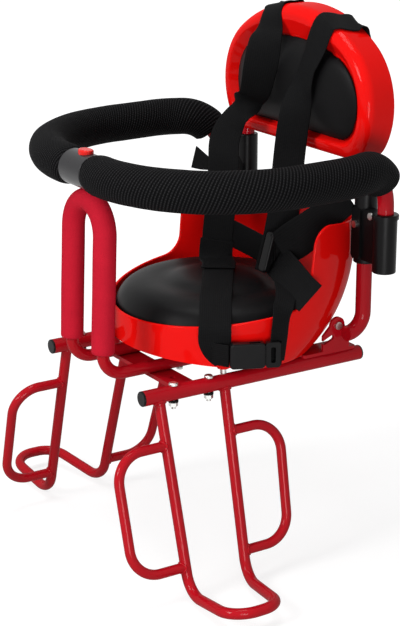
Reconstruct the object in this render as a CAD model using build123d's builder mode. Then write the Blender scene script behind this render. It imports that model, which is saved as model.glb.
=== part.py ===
"""Rear child seat for a bicycle, carried by two steel rails above the luggage rack.

Millimetres. +Z is up, -Y is the way the child faces and +X is the child's left. The origin is on
the underside of the two cross bars, midway between the four holes that bolt them to the rack.
"""

import os
from math import atan2, cos, degrees, radians, sin, sqrt, tan

from build123d import *

os.makedirs("parts", exist_ok=True)

# Clearances
HINGE_CLEARANCE = 0.1
SLEEVE_CLEARANCE = 0.15
SOFT_GAP = 0.3
BOLT_CLEARANCE = 0.2

# Rails and cross bars
RAIL_SPACING = 231.0
RAIL_LENGTH = 322.0
RAIL_FRONT_Y = -165.0
RAIL_OD = 19.0
RAIL_WALL = 1.6
PLUG_FLANGE = 2.5
PLUG_DEPTH = 14.0
BAR_WIDTH = 32.0
BAR_THICKNESS = 5.0
RACK_HOLE_SPACING_X = 140.0
RACK_HOLE_SPACING_Y = 190.0
RACK_HOLE_DIA = 6.6

# Bolts that go down through the rails
RAIL_BOLT_DIA = 6.0
RAIL_BOLT_Y = (-122.0, -71.5)
RAIL_BOLT_HEAD_DIA = 11.0
RAIL_BOLT_HEAD_HEIGHT = 3.6
RAIL_BOLT_TAIL = 3.5
WASHER_DIA = 12.5
WASHER_THICKNESS = 2.6
NUT_ACROSS_FLATS = 10.0
NUT_HEIGHT = 5.0

# Legs with outward foot loops, and the guard loops before and behind them
LEG_OD = 13.5
LEG_FRONT_TOP_Y = -143.0
LEG_REAR_TOP_Y = -49.0
LEG_FRONT_FOOT_Y = -141.0
LEG_REAR_FOOT_Y = -58.0
FOOT_INNER_X = 183.0
FOOT_OUTER_X = 288.0
FOOT_FRONT_Y = -147.0
FOOT_REAR_Y = -80.0
FOOT_Z = -231.0
FOOT_OUTER_Z = -215.0
FOOT_BEND = 30.0
FOOT_END_BEND = 31.0
LOOP_OD = 12.5
LOOP_TOP_Z = -54.0
LOOP_BOTTOM_Z = -198.0
FRONT_LOOP_TOP_Y = -214.0
FRONT_LOOP_BOTTOM_Y = -213.0
REAR_LOOP_TOP_Y = 22.0
REAR_LOOP_BOTTOM_Y = 11.0
LOOP_BEND = 36.0

# Handle in front of the seat
HANDLE_OD = 15.4
HANDLE_SPACING = 78.8
HANDLE_FOOT_Y = -177.0
HANDLE_TOP_Y = -169.0
HANDLE_TOP_Z = 226.0
HANDLE_BEND = 28.0
HANDLE_REAR_Y = 112.0
HANDLE_FOAM_OD = 28.8
HANDLE_FOAM_BOTTOM_Z = 42.0

# Inverted U behind the back
UPRIGHT_OD = 20.0
UPRIGHT_SPACING = 266.0
UPRIGHT_Y = 150.0
UPRIGHT_TOP_Z = 385.0
UPRIGHT_TOP_BEND = 70.0
UPRIGHT_FOOT_Z = 41.0
UPRIGHT_FOOT_Y = 124.0
UPRIGHT_FOOT_BEND = 26.0

# Stamped brackets that join the uprights to the rails
BRACKET_THICKNESS = 4.0
BRACKET_INNER_X = 90.0
BRACKET_FRONT_Y = 66.0
BRACKET_REAR_Y = 148.0
WEB_FRONT_Y = 96.0
EAR_Y = 118.0
EAR_Z = 50.0
EAR_RADIUS = 11.0
SLOT_Y = 104.0
SLOT_Z = 33.0
SLOT_LENGTH = 18.0
SLOT_HEIGHT = 6.0
SLOT_ANGLE = 24.0
EAR_BOLT_DIA = 6.0

# Guard ring: tube, foam, hinges and latch
GUARD_OD = 20.0
GUARD_FOAM_OD = 50.0
GUARD_HALF_WIDTH = 217.0
GUARD_FRONT_Y = -175.0
GUARD_FRONT_Z = 264.0
GUARD_RISE = 0.012
GUARD_CORNER_BEND = 165.0
GUARD_REAR_BEND = 90.0
GUARD_DOWN_BEND = 55.0
GUARD_FOAM_DOWN_ANGLE = 48.0
GUARD_TURN_Y = 66.0
HINGE_SPACING = 368.0
HINGE_Y = 140.5
SLEEVE_OD = 29.5
SLEEVE_BOTTOM_Z = 132.0
SLEEVE_TOP_Z = 206.0
SLEEVE_FLOOR = 6.0
SLEEVE_LIP_OD = 33.0
SLEEVE_LIP_HEIGHT = 6.0
CLAMP_OD = 29.0
CLAMP_TOP_Z = 250.0
CLAMP_FACE_WIDTH = 17.0
CLAMP_FACE_PROUD = 1.5
HINGE_WEB_DEPTH = 15.0
HINGE_WEB_BOTTOM_Z = 138.0
HINGE_WEB_TOP_Z = 203.5
HINGE_EDGE = 1.5
HINGE_BOLT_DIA = 5.0
HINGE_BOLT_HEAD_DIA = 9.0
HINGE_BOLT_HEAD_HEIGHT = 3.2
CLAMP_BOLT_Z = 183.0
WEB_BOLT_X = 160.0
WEB_BOLT_Z = 198.0
LATCH_OD = 44.0
LATCH_LENGTH = 52.0
LATCH_MOUTH_DIA = 36.0
LATCH_MOUTH_DEPTH = 14.0
LATCH_SOCKET_DEPTH = 12.0
TONGUE_LENGTH = 10.0
TONGUE_WIDTH = 14.0
TONGUE_THICKNESS = 6.0
BUTTON_X = 5.0
BUTTON_LENGTH = 24.0
BUTTON_WIDTH = 17.0
BUTTON_PROUD = 4.2
BUTTON_TRAVEL = 3.0
BUTTON_SKIRT = 4.0
BUTTON_STEM_DIA = 4.0
BUTTON_POCKET_DEPTH = 12.0
SPRING_WIRE = 0.7
SPRING_DIA = 6.6

# Bucket seat: height, half width, half length and centre of each level of its round wall
SEAT_LEVELS = (
    (21.5, 140.0, 124.0, 6.0),
    (52.0, 148.0, 141.0, 21.0),
    (95.0, 153.0, 153.0, 33.0),
    (192.0, 156.0, 156.0, 36.0),
)
SEAT_WALL = 4.0
SEAT_PAN_Z = 55.0
RIM_FRONT_Y = -130.0
RIM_FRONT_Z = 70.0
WING_FOOT_Y = 50.0
WING_FOOT_Z = 95.0
WING_TOP_Y = 60.0
WING_TOP_Z = 195.5
WING_REAR_Y = 210.0
WING_REAR_Z = 172.0
WING_FOOT_BEND = 30.0
WING_TOP_BEND = 26.0
RIM_EDGE = 1.5
SKIRT_FRONT_Z = 33.0
SKIRT_LEVEL_Y = -8.0
SEAT_PAD_SIDE_GAP = 2.0
SEAT_PAD_END_GAP = 1.0
SEAT_PAD_TOP_Z = 102.0
# The pad's dome: share of its height, and share of its width and length there
SEAT_PAD_DOME = ((0.0, 1.0), (0.32, 0.995), (0.66, 0.95), (0.9, 0.78), (1.0, 0.45))
STUD_DIA = 8.0
FRONT_STUD_X = 112.0
FRONT_STUD_Y = -48.0
REAR_STUD_X = 100.0
REAR_STUD_Y = 78.0
BOSS_DIA = 15.0
SEAT_SCREW_DIA = 4.0
SEAT_SCREW_HEAD_DIA = 8.5
SEAT_SCREW_HEAD_HEIGHT = 3.0
SEAT_SCREW_Y = (-66.0, 62.0)

# Backrest
BACK_HALF_WIDTH = 160.0
BACK_RISE = 112.0
BACK_DROP = 66.0
BACK_SIDE_RADIUS = 90.0
BACK_CORNER = 36.0
BACK_CENTRE_Z = 327.0
BACK_FRONT_Y = 125.0
BACK_DEPTH = 44.0
BACK_WALL = 4.0
BACK_EDGE = 14.0
BACK_REAR_EDGE = 2.5
RIM_SIDE = 18.0
RIM_TOP = 19.0
RIM_BOTTOM = 17.0
RIDGE_SIDE_RADIUS = 78.0
RIDGE_CORNER = 32.0
DISH_SIDE_SLOPE = 11.0
DISH_TOP_SLOPE = 20.0
DISH_BOTTOM_SLOPE = 5.0
DISH_SIDE_RADIUS = 62.0
DISH_CORNER = 26.0
DISH_DEPTH = 11.0
DISH_EDGE = 4.0
BACK_PAD_GAP = 0.5
BACK_PAD_THICKNESS = 14.0
BACK_PAD_EDGE = 7.0
BACK_BOLT_DIA = 6.0
BACK_BOLT_Z = (302.0, 340.0)
BACK_BOLT_HEAD_DIA = 11.0
BACK_BOLT_HEAD_HEIGHT = 4.0

# Harness
STRAP_WIDTH = 40.0
STRAP_THICKNESS = 2.0
STRAP_GAP = 0.5
SHOULDER_X = {"left": 60.0, "right": -43.0}
SHOULDER_TAIL = 55.0
SHOULDER_BEND_Y = 131.0
SHOULDER_LEAVE_Z = 424.0
SHOULDER_FOLD_Z = 335.0
SHOULDER_ELBOW = {"left": (88.0, 250.0), "right": (60.0, 258.0)}
SHOULDER_END_Y = 47.0
SHOULDER_BENDS = (5.0, 10.0, 10.0, 50.0, 50.0)
BELT_WIDTH = 38.0
BELT_REAR = (116.8, 127.7, 207.0)
BELT_FRONT = (84.5, 75.5, 147.0)
LAP_START = {"left": (66.0, 20.0), "right": (-49.0, 52.0)}
LAP_RIM = {"left": (155.0, 8.0, 98.0), "right": (119.0, -70.5, 96.0)}
LAP_LEVEL_SHARE = {"left": 0.3, "right": 0.6}
LAP_WIDTH = {"left": 25.0, "right": 40.0}
LAP_BEND = 8.0
LAP_DROP_Z = 34.0
LINK_WIDTH = 28.0
LINK_GAP = 1.0
BUCKLE_PLACE = (149.0, -37.0, 46.0)
BUCKLE_ANGLE = 66.6
BUCKLE_LENGTH = 44.0
BUCKLE_HEIGHT = 32.0
BUCKLE_THICKNESS = 10.0
BUCKLE_WALL = 4.0
BUCKLE_CAVITY_DEPTH = 32.0
BUCKLE_WINDOW_LENGTH = 14.0
BUCKLE_WINDOW_END = 6.0
BUCKLE_ARM = 5.0
BUCKLE_ARM_LENGTH = 28.0
BUCKLE_CATCH_LENGTH = 12.0
BUCKLE_CATCH_SINK = 1.5
BUCKLE_TONGUE_LENGTH = 18.0
BUCKLE_SLOT = 6.0
SLIDER_LENGTH = 52.0
SLIDER_WIDTH = 15.0
SLIDER_THICKNESS = 7.0

# Places that follow from the sizes above
RAIL_X = RAIL_SPACING / 2
RAIL_Z = BAR_THICKNESS
RAIL_REAR_Y = RAIL_FRONT_Y + RAIL_LENGTH
RAIL_TOP_Z = RAIL_Z + RAIL_OD / 2
RAIL_BOTTOM_Z = RAIL_Z - RAIL_OD / 2
HANDLE_X = HANDLE_SPACING / 2
HANDLE_Z = BAR_THICKNESS + HANDLE_OD / 2
UPRIGHT_X = UPRIGHT_SPACING / 2
HINGE_X = HINGE_SPACING / 2
SEAT_BOTTOM_Z = SEAT_LEVELS[0][0]
BACK_REAR_Y = BACK_FRONT_Y + BACK_DEPTH
PLATE_FRONT_Y = BACK_FRONT_Y + DISH_DEPTH
BACK_BOTTOM_Z = BACK_CENTRE_Z - BACK_DROP
RIDGE_HALF_WIDTH = BACK_HALF_WIDTH - RIM_SIDE
RIDGE_RISE = BACK_RISE - RIM_TOP
RIDGE_DROP = BACK_DROP - RIM_BOTTOM
DISH_HALF_WIDTH = RIDGE_HALF_WIDTH - DISH_SIDE_SLOPE
DISH_RISE = RIDGE_RISE - DISH_TOP_SLOPE
DISH_DROP = RIDGE_DROP - DISH_BOTTOM_SLOPE
PLATE_REAR_Y = UPRIGHT_Y - UPRIGHT_OD / 2
PAD_BASE_Z = SEAT_PAN_Z + SEAT_WALL / 2 + SOFT_GAP
SIDES = {"left": 1, "right": -1}
UPWARD = (Align.CENTER, Align.CENTER, Align.MIN)
DOWNWARD = (Align.CENTER, Align.CENTER, Align.MAX)


def save(part: Part, name: str) -> None:
    """Label a finished piece and write it as a STEP file."""
    part.label = name
    export_step(part, f"parts/{name}.step")


def swept_tube(points: list, radii: list, outer: float, bore: float = 0.0) -> Part:
    """Sweep a round section along straight runs joined by tangent arcs."""
    with BuildPart() as tube:
        with BuildLine() as path:
            FilletPolyline(*points, radius=radii)
        with BuildSketch(Plane(origin=path.wire() @ 0, z_dir=path.wire() % 0)):
            Circle(outer / 2)
            if bore > 0:
                Circle(bore / 2, mode=Mode.SUBTRACT)
        sweep(path=path.wire())
    return tube.part


def swept_strap(points: list, radii: list, across: tuple, width: float) -> Part:
    """Sweep flat webbing along a planar path; across is the direction of its width."""
    with BuildPart() as strap:
        with BuildLine() as path:
            FilletPolyline(*points, radius=radii)
        with BuildSketch(Plane(origin=path.wire() @ 0, x_dir=across, z_dir=path.wire() % 0)):
            Rectangle(width, STRAP_THICKNESS)
        sweep(path=path.wire())
    return strap.part


def mirrored(part: Part, side: int) -> Part:
    """Return a left-hand piece, or its mirror image for the right."""
    return part if side > 0 else mirror(part, about=Plane.YZ, mode=Mode.PRIVATE)


# Rails: steel tube, drilled for two bolts each
with BuildPart() as rail:
    with BuildSketch(Plane.XZ.offset(-RAIL_FRONT_Y)):
        with Locations((RAIL_X, RAIL_Z)):
            Circle(RAIL_OD / 2)
            Circle(RAIL_OD / 2 - RAIL_WALL, mode=Mode.SUBTRACT)
    extrude(amount=-RAIL_LENGTH)
    with Locations(*[(RAIL_X, bolt_y, RAIL_Z) for bolt_y in RAIL_BOLT_Y]):
        Cylinder(RAIL_BOLT_DIA / 2 + BOLT_CLEARANCE, 2 * RAIL_OD, mode=Mode.SUBTRACT)
for side_name, side in SIDES.items():
    save(mirrored(rail.part, side), f"{side_name}_rail")

with BuildPart() as rail_solid:
    with Locations((RAIL_X, RAIL_FRONT_Y + RAIL_LENGTH / 2, RAIL_Z)):
        Cylinder(RAIL_OD / 2, RAIL_LENGTH, rotation=(90, 0, 0))

# End plugs: a flange as wide as the tube and a spigot inside it
with BuildPart() as rail_plugs:
    with Locations((RAIL_X, RAIL_FRONT_Y, RAIL_Z), (-RAIL_X, RAIL_FRONT_Y, RAIL_Z)):
        Cylinder(RAIL_OD / 2, PLUG_FLANGE, rotation=(90, 0, 0), align=UPWARD)
        Cylinder(
            RAIL_OD / 2 - RAIL_WALL - SLEEVE_CLEARANCE,
            PLUG_DEPTH,
            rotation=(90, 0, 0),
            align=DOWNWARD,
        )
    with Locations((RAIL_X, RAIL_REAR_Y, RAIL_Z), (-RAIL_X, RAIL_REAR_Y, RAIL_Z)):
        Cylinder(RAIL_OD / 2, PLUG_FLANGE, rotation=(90, 0, 0), align=DOWNWARD)
        Cylinder(
            RAIL_OD / 2 - RAIL_WALL - SLEEVE_CLEARANCE,
            PLUG_DEPTH,
            rotation=(90, 0, 0),
            align=UPWARD,
        )
    rims = rail_plugs.edges().filter_by(GeomType.CIRCLE).group_by(Axis.Y)
    fillet(rims[0] + rims[-1], PLUG_FLANGE / 2)
save(rail_plugs.part, "rail_plugs")

# Cross bars, shaped at their ends to the rails they are welded to
for bar_name, bar_end in (("front_cross_bar", -1), ("rear_cross_bar", 1)):
    bar_y = bar_end * RACK_HOLE_SPACING_Y / 2
    with BuildPart() as cross_bar:
        with BuildSketch():
            with Locations((0, bar_y)):
                Rectangle(RAIL_SPACING, BAR_WIDTH)
            with Locations((RACK_HOLE_SPACING_X / 2, bar_y), (-RACK_HOLE_SPACING_X / 2, bar_y)):
                Circle(RACK_HOLE_DIA / 2, mode=Mode.SUBTRACT)
        extrude(amount=BAR_THICKNESS)
        add(rail_solid.part, mode=Mode.SUBTRACT)
        add(mirror(rail_solid.part, about=Plane.YZ, mode=Mode.PRIVATE), mode=Mode.SUBTRACT)
    save(cross_bar.part, bar_name)

# Rail bolts with their washers and nuts below
RAIL_BOLT_PLACES = [(x, bolt_y) for x in (RAIL_X, -RAIL_X) for bolt_y in RAIL_BOLT_Y]
WASHER_BOTTOM_Z = RAIL_BOTTOM_Z - WASHER_THICKNESS
NUT_BOTTOM_Z = WASHER_BOTTOM_Z - NUT_HEIGHT

with BuildPart() as rail_bolts:
    with BuildSketch(Plane.XY.offset(RAIL_TOP_Z)):
        with Locations(*RAIL_BOLT_PLACES):
            Circle(RAIL_BOLT_HEAD_DIA / 2)
    extrude(amount=RAIL_BOLT_HEAD_HEIGHT)
    fillet(rail_bolts.edges().group_by(Axis.Z)[-1], RAIL_BOLT_HEAD_HEIGHT * 0.6)
    with BuildSketch(Plane.XY.offset(NUT_BOTTOM_Z - RAIL_BOLT_TAIL)):
        with Locations(*RAIL_BOLT_PLACES):
            Circle(RAIL_BOLT_DIA / 2)
    extrude(amount=RAIL_TOP_Z - NUT_BOTTOM_Z + RAIL_BOLT_TAIL)
save(rail_bolts.part, "rail_bolts")

with BuildPart() as rail_washers:
    with BuildSketch(Plane.XY.offset(WASHER_BOTTOM_Z)):
        with Locations(*RAIL_BOLT_PLACES):
            Circle(WASHER_DIA / 2)
            Circle(RAIL_BOLT_DIA / 2 + BOLT_CLEARANCE, mode=Mode.SUBTRACT)
    extrude(amount=WASHER_THICKNESS)
save(rail_washers.part, "rail_washers")

with BuildPart() as rail_nuts:
    with BuildSketch(Plane.XY.offset(NUT_BOTTOM_Z)):
        with Locations(*RAIL_BOLT_PLACES):
            RegularPolygon(NUT_ACROSS_FLATS / 2, 6, major_radius=False)
            Circle(RAIL_BOLT_DIA / 2 + SLEEVE_CLEARANCE, mode=Mode.SUBTRACT)
    extrude(amount=NUT_HEIGHT)
save(rail_nuts.part, "rail_nuts")

# Leg: one tube down the front, out and round the foot, and up the rear
LEG_SPLAY = (FOOT_INNER_X - RAIL_X) / (RAIL_Z - FOOT_Z)


def leg_point(z: float, top_y: float, foot_y: float) -> tuple:
    """Give the point of a leg's axis at one height."""
    share = (RAIL_Z - z) / (RAIL_Z - FOOT_Z)
    return (RAIL_X + LEG_SPLAY * (RAIL_Z - z), top_y + share * (foot_y - top_y), z)


leg_tube = swept_tube(
    [
        leg_point(RAIL_Z, LEG_FRONT_TOP_Y, LEG_FRONT_FOOT_Y),
        leg_point(FOOT_Z, LEG_FRONT_TOP_Y, LEG_FRONT_FOOT_Y),
        (FOOT_OUTER_X, FOOT_FRONT_Y, FOOT_OUTER_Z),
        (FOOT_OUTER_X, FOOT_REAR_Y, FOOT_OUTER_Z),
        leg_point(FOOT_Z, LEG_REAR_TOP_Y, LEG_REAR_FOOT_Y),
        leg_point(RAIL_Z, LEG_REAR_TOP_Y, LEG_REAR_FOOT_Y),
    ],
    [FOOT_BEND, FOOT_END_BEND, FOOT_END_BEND, FOOT_BEND],
    LEG_OD,
)
with BuildPart() as leg:
    add(leg_tube)
    add(rail_solid.part, mode=Mode.SUBTRACT)


def side_loop(top_y: float, foot_y: float, out_top_y: float, out_bottom_y: float) -> Part:
    """Make a loop of tube that starts and ends on one leg, in the plane of its splay."""
    top = leg_point(LOOP_TOP_Z, top_y, foot_y)
    bottom = leg_point(LOOP_BOTTOM_Z, top_y, foot_y)
    bend = swept_tube(
        [top, (top[0], out_top_y, LOOP_TOP_Z), (bottom[0], out_bottom_y, LOOP_BOTTOM_Z), bottom],
        [LOOP_BEND, LOOP_BEND],
        LOOP_OD,
    )
    with BuildPart() as loop:
        add(bend)
        add(leg_tube, mode=Mode.SUBTRACT)
    return loop.part


front_loop = side_loop(LEG_FRONT_TOP_Y, LEG_FRONT_FOOT_Y, FRONT_LOOP_TOP_Y, FRONT_LOOP_BOTTOM_Y)
rear_loop = side_loop(LEG_REAR_TOP_Y, LEG_REAR_FOOT_Y, REAR_LOOP_TOP_Y, REAR_LOOP_BOTTOM_Y)
for side_name, side in SIDES.items():
    save(mirrored(leg.part, side), f"{side_name}_leg")
    save(mirrored(front_loop, side), f"{side_name}_front_loop")
    save(mirrored(rear_loop, side), f"{side_name}_rear_loop")

# Handle: an arch in front of the seat whose legs run back under it on the cross bars
HANDLE_LEAN = (HANDLE_TOP_Y - HANDLE_FOOT_Y) / (HANDLE_TOP_Z - HANDLE_Z)
SEAT_SCREW_PLACES = [(x, screw_y) for x in (HANDLE_X, -HANDLE_X) for screw_y in SEAT_SCREW_Y]
HANDLE_BOTTOM_Z = HANDLE_Z - HANDLE_OD / 2


def handle_ends(z: float) -> list:
    """Give the two points of the handle's legs at one height."""
    leg_y = HANDLE_FOOT_Y + HANDLE_LEAN * (z - HANDLE_Z)
    return [(HANDLE_X, leg_y, z), (-HANDLE_X, leg_y, z)]


handle_path = [
    (HANDLE_X, HANDLE_REAR_Y, HANDLE_Z),
    handle_ends(HANDLE_Z)[0],
    handle_ends(HANDLE_TOP_Z)[0],
    handle_ends(HANDLE_TOP_Z)[1],
    handle_ends(HANDLE_Z)[1],
    (-HANDLE_X, HANDLE_REAR_Y, HANDLE_Z),
]
HANDLE_ARCH = HANDLE_X - 0.2
with BuildPart() as handle_tube:
    add(swept_tube(handle_path, [HANDLE_BEND, HANDLE_ARCH, HANDLE_ARCH, HANDLE_BEND], HANDLE_OD))
    with Locations(*[(x, screw_y, HANDLE_Z) for x, screw_y in SEAT_SCREW_PLACES]):
        Cylinder(SEAT_SCREW_DIA / 2 + BOLT_CLEARANCE, 2 * HANDLE_OD, mode=Mode.SUBTRACT)
save(handle_tube.part, "handle_tube")

foam_ends = handle_ends(HANDLE_FOAM_BOTTOM_Z)
handle_foam = swept_tube(
    [foam_ends[0], *handle_ends(HANDLE_TOP_Z), foam_ends[1]],
    [HANDLE_ARCH, HANDLE_ARCH],
    HANDLE_FOAM_OD,
    HANDLE_OD + 2 * SLEEVE_CLEARANCE,
)
save(handle_foam, "handle_foam")

# Upright frame, drilled for the backrest bolts
BACK_BOLT_PLACES = [(x, bolt_z) for x in (UPRIGHT_X, -UPRIGHT_X) for bolt_z in BACK_BOLT_Z]
with BuildPart() as upright_frame:
    add(
        swept_tube(
            [
                (UPRIGHT_X, UPRIGHT_FOOT_Y, UPRIGHT_FOOT_Z),
                (UPRIGHT_X, UPRIGHT_Y, UPRIGHT_FOOT_Z),
                (UPRIGHT_X, UPRIGHT_Y, UPRIGHT_TOP_Z),
                (-UPRIGHT_X, UPRIGHT_Y, UPRIGHT_TOP_Z),
                (-UPRIGHT_X, UPRIGHT_Y, UPRIGHT_FOOT_Z),
                (-UPRIGHT_X, UPRIGHT_FOOT_Y, UPRIGHT_FOOT_Z),
            ],
            [UPRIGHT_FOOT_BEND - 0.5, UPRIGHT_TOP_BEND, UPRIGHT_TOP_BEND, UPRIGHT_FOOT_BEND - 0.5],
            UPRIGHT_OD,
        )
    )
    with Locations(*[(x, UPRIGHT_Y, bolt_z) for x, bolt_z in BACK_BOLT_PLACES]):
        Cylinder(BACK_BOLT_DIA / 2 + BOLT_CLEARANCE, 2 * UPRIGHT_OD, rotation=(90, 0, 0), mode=Mode.SUBTRACT)
    with Locations((UPRIGHT_X, UPRIGHT_Y, CLAMP_BOLT_Z), (-UPRIGHT_X, UPRIGHT_Y, CLAMP_BOLT_Z)):
        Cylinder(
            HINGE_BOLT_DIA / 2 + BOLT_CLEARANCE, 2 * UPRIGHT_OD, rotation=(90, 0, 0), mode=Mode.SUBTRACT
        )
save(upright_frame.part, "upright_frame")

# Rear brackets: a flange on the rail and a slotted web with a bolt ear beside the upright
WEB_OUTER_X = UPRIGHT_X - UPRIGHT_OD / 2
FLANGE_TOP_Z = RAIL_TOP_Z + BRACKET_THICKNESS
with BuildPart() as bracket:
    with BuildSketch(Plane.XY.offset(RAIL_TOP_Z)):
        with Locations(((BRACKET_INNER_X + WEB_OUTER_X) / 2, (BRACKET_FRONT_Y + BRACKET_REAR_Y) / 2)):
            RectangleRounded(
                WEB_OUTER_X - BRACKET_INNER_X, BRACKET_REAR_Y - BRACKET_FRONT_Y, BRACKET_THICKNESS
            )
        with Locations((REAR_STUD_X, REAR_STUD_Y)):
            Circle(STUD_DIA / 2 - 1, mode=Mode.SUBTRACT)
    extrude(amount=BRACKET_THICKNESS)
    with BuildSketch(Plane.YZ.offset(WEB_OUTER_X)):
        with BuildLine():
            Polyline(
                (WEB_FRONT_Y, RAIL_TOP_Z),
                (WEB_FRONT_Y, SLOT_Z + SLOT_HEIGHT),
                (EAR_Y - EAR_RADIUS, EAR_Z),
                (EAR_Y + EAR_RADIUS, EAR_Z),
                (BRACKET_REAR_Y - EAR_RADIUS, SLOT_Z),
                (BRACKET_REAR_Y - EAR_RADIUS, RAIL_TOP_Z),
                close=True,
            )
        make_face()
        with Locations((EAR_Y, EAR_Z)):
            Circle(EAR_RADIUS)
            Circle(EAR_BOLT_DIA / 2 + BOLT_CLEARANCE, mode=Mode.SUBTRACT)
        with Locations(Location((SLOT_Y, SLOT_Z), SLOT_ANGLE)):
            SlotOverall(SLOT_LENGTH, SLOT_HEIGHT, mode=Mode.SUBTRACT)
    extrude(amount=-BRACKET_THICKNESS)
for side_name, side in SIDES.items():
    save(mirrored(bracket.part, side), f"{side_name}_bracket")

with BuildPart() as bracket_bolt:
    with BuildSketch(Plane.YZ.offset(WEB_OUTER_X)):
        with Locations((EAR_Y, EAR_Z)):
            Circle(EAR_BOLT_DIA * 0.85)
    extrude(amount=EAR_BOLT_DIA * 0.5)
    with BuildSketch(Plane.YZ.offset(WEB_OUTER_X)):
        with Locations((EAR_Y, EAR_Z)):
            Circle(EAR_BOLT_DIA / 2)
    extrude(amount=-BRACKET_THICKNESS)
    with BuildSketch(Plane.YZ.offset(WEB_OUTER_X - BRACKET_THICKNESS)):
        with Locations((EAR_Y, EAR_Z)):
            RegularPolygon(NUT_ACROSS_FLATS / 2, 6, major_radius=False)
    extrude(amount=-NUT_HEIGHT)
with BuildPart() as bracket_bolts:
    add(bracket_bolt.part)
    mirror(about=Plane.YZ)
save(bracket_bolts.part, "bracket_bolts")

# Hinge blocks: a clamp round the upright, a web and the sleeve that the guard turns in
CLAMP_FRONT_Y = UPRIGHT_Y - CLAMP_OD / 2 - CLAMP_FACE_PROUD
WEB_Y = (UPRIGHT_Y + HINGE_Y) / 2
with BuildPart() as hinge_block:
    with Locations((UPRIGHT_X, UPRIGHT_Y, SLEEVE_BOTTOM_Z)):
        Cylinder(CLAMP_OD / 2, CLAMP_TOP_Z - SLEEVE_BOTTOM_Z, align=UPWARD)
    with BuildSketch(Plane.XZ.offset(-UPRIGHT_Y)):
        with Locations((UPRIGHT_X, (HINGE_WEB_BOTTOM_Z + HINGE_WEB_TOP_Z) / 2)):
            RectangleRounded(CLAMP_FACE_WIDTH, HINGE_WEB_TOP_Z - HINGE_WEB_BOTTOM_Z, CLAMP_FACE_WIDTH / 3)
    extrude(amount=UPRIGHT_Y - CLAMP_FRONT_Y)
    with BuildSketch(Plane.XY.offset(HINGE_WEB_BOTTOM_Z)):
        with Locations(((UPRIGHT_X + HINGE_X) / 2, WEB_Y)):
            Rectangle(HINGE_X - UPRIGHT_X, HINGE_WEB_DEPTH)
    extrude(amount=HINGE_WEB_TOP_Z - HINGE_WEB_BOTTOM_Z)
    with Locations((HINGE_X, HINGE_Y, SLEEVE_BOTTOM_Z)):
        Cylinder(SLEEVE_OD / 2, SLEEVE_TOP_Z - SLEEVE_BOTTOM_Z, align=UPWARD)
    with Locations((HINGE_X, HINGE_Y, SLEEVE_TOP_Z)):
        Cylinder(SLEEVE_LIP_OD / 2, SLEEVE_LIP_HEIGHT, align=DOWNWARD)
    hinge_rims = hinge_block.edges().filter_by(GeomType.CIRCLE)
    lip_rim = hinge_rims.filter_by_position(Axis.Z, SLEEVE_TOP_Z - HINGE_EDGE, SLEEVE_TOP_Z + HINGE_EDGE)
    fillet(hinge_rims.group_by(Axis.Z)[0] + hinge_rims.group_by(Axis.Z)[-1] + lip_rim, HINGE_EDGE)
    with Locations((HINGE_X, HINGE_Y, SLEEVE_BOTTOM_Z + SLEEVE_FLOOR)):
        Cylinder(
            GUARD_OD / 2 + HINGE_CLEARANCE,
            SLEEVE_TOP_Z,
            align=UPWARD,
            mode=Mode.SUBTRACT,
        )
    with Locations((UPRIGHT_X, UPRIGHT_Y, 0)):
        Cylinder(
            UPRIGHT_OD / 2 + SLEEVE_CLEARANCE,
            2 * CLAMP_TOP_Z,
            align=UPWARD,
            mode=Mode.SUBTRACT,
        )
    with Locations((UPRIGHT_X, UPRIGHT_Y, CLAMP_BOLT_Z), (WEB_BOLT_X, WEB_Y, WEB_BOLT_Z)):
        Cylinder(HINGE_BOLT_DIA / 2 + BOLT_CLEARANCE, 3 * CLAMP_OD, rotation=(90, 0, 0), mode=Mode.SUBTRACT)
for side_name, side in SIDES.items():
    save(mirrored(hinge_block.part, side), f"{side_name}_hinge_block")

# Hinge bolts: one through the clamp into the upright, one through the web
with BuildPart() as hinge_bolt_pair:
    for x, z, front_y, length in (
        (UPRIGHT_X, CLAMP_BOLT_Z, CLAMP_FRONT_Y, UPRIGHT_Y - CLAMP_FRONT_Y),
        (WEB_BOLT_X, WEB_BOLT_Z, WEB_Y - HINGE_WEB_DEPTH / 2, HINGE_WEB_DEPTH),
    ):
        with BuildSketch(Plane.XZ.offset(-front_y)):
            with Locations((x, z)):
                Circle(HINGE_BOLT_HEAD_DIA / 2)
        extrude(amount=HINGE_BOLT_HEAD_HEIGHT)
        with BuildSketch(Plane.XZ.offset(-front_y)):
            with Locations((x, z)):
                Circle(HINGE_BOLT_DIA / 2)
        extrude(amount=-length)
with BuildPart() as hinge_bolts:
    add(hinge_bolt_pair.part)
    mirror(about=Plane.YZ)
save(hinge_bolts.part, "hinge_bolts")

# Guard halves: a bent tube from the latch round to the hinge, with foam over most of it
LATCH_END_X = LATCH_LENGTH / 2


def guard_z(y: float) -> float:
    """Give the height of the guard's plane at one place along the seat."""
    return GUARD_FRONT_Z + GUARD_RISE * (y - GUARD_FRONT_Y)


GUARD_TURN = Vector(GUARD_HALF_WIDTH, GUARD_TURN_Y, guard_z(GUARD_TURN_Y))
GUARD_TOP = Vector(HINGE_X, HINGE_Y, guard_z(HINGE_Y))
GUARD_BENDS = [GUARD_CORNER_BEND, GUARD_REAR_BEND, GUARD_DOWN_BEND]


def guard_half(start_x: float) -> Part:
    """Make the tube of one half, from its latch end down to the floor of the hinge sleeve."""
    return swept_tube(
        [
            (start_x, GUARD_FRONT_Y, GUARD_FRONT_Z),
            (GUARD_HALF_WIDTH, GUARD_FRONT_Y, GUARD_FRONT_Z),
            GUARD_TURN,
            GUARD_TOP,
            (HINGE_X, HINGE_Y, SLEEVE_BOTTOM_Z + SLEEVE_FLOOR + SOFT_GAP),
        ],
        GUARD_BENDS,
        GUARD_OD,
    )


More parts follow.
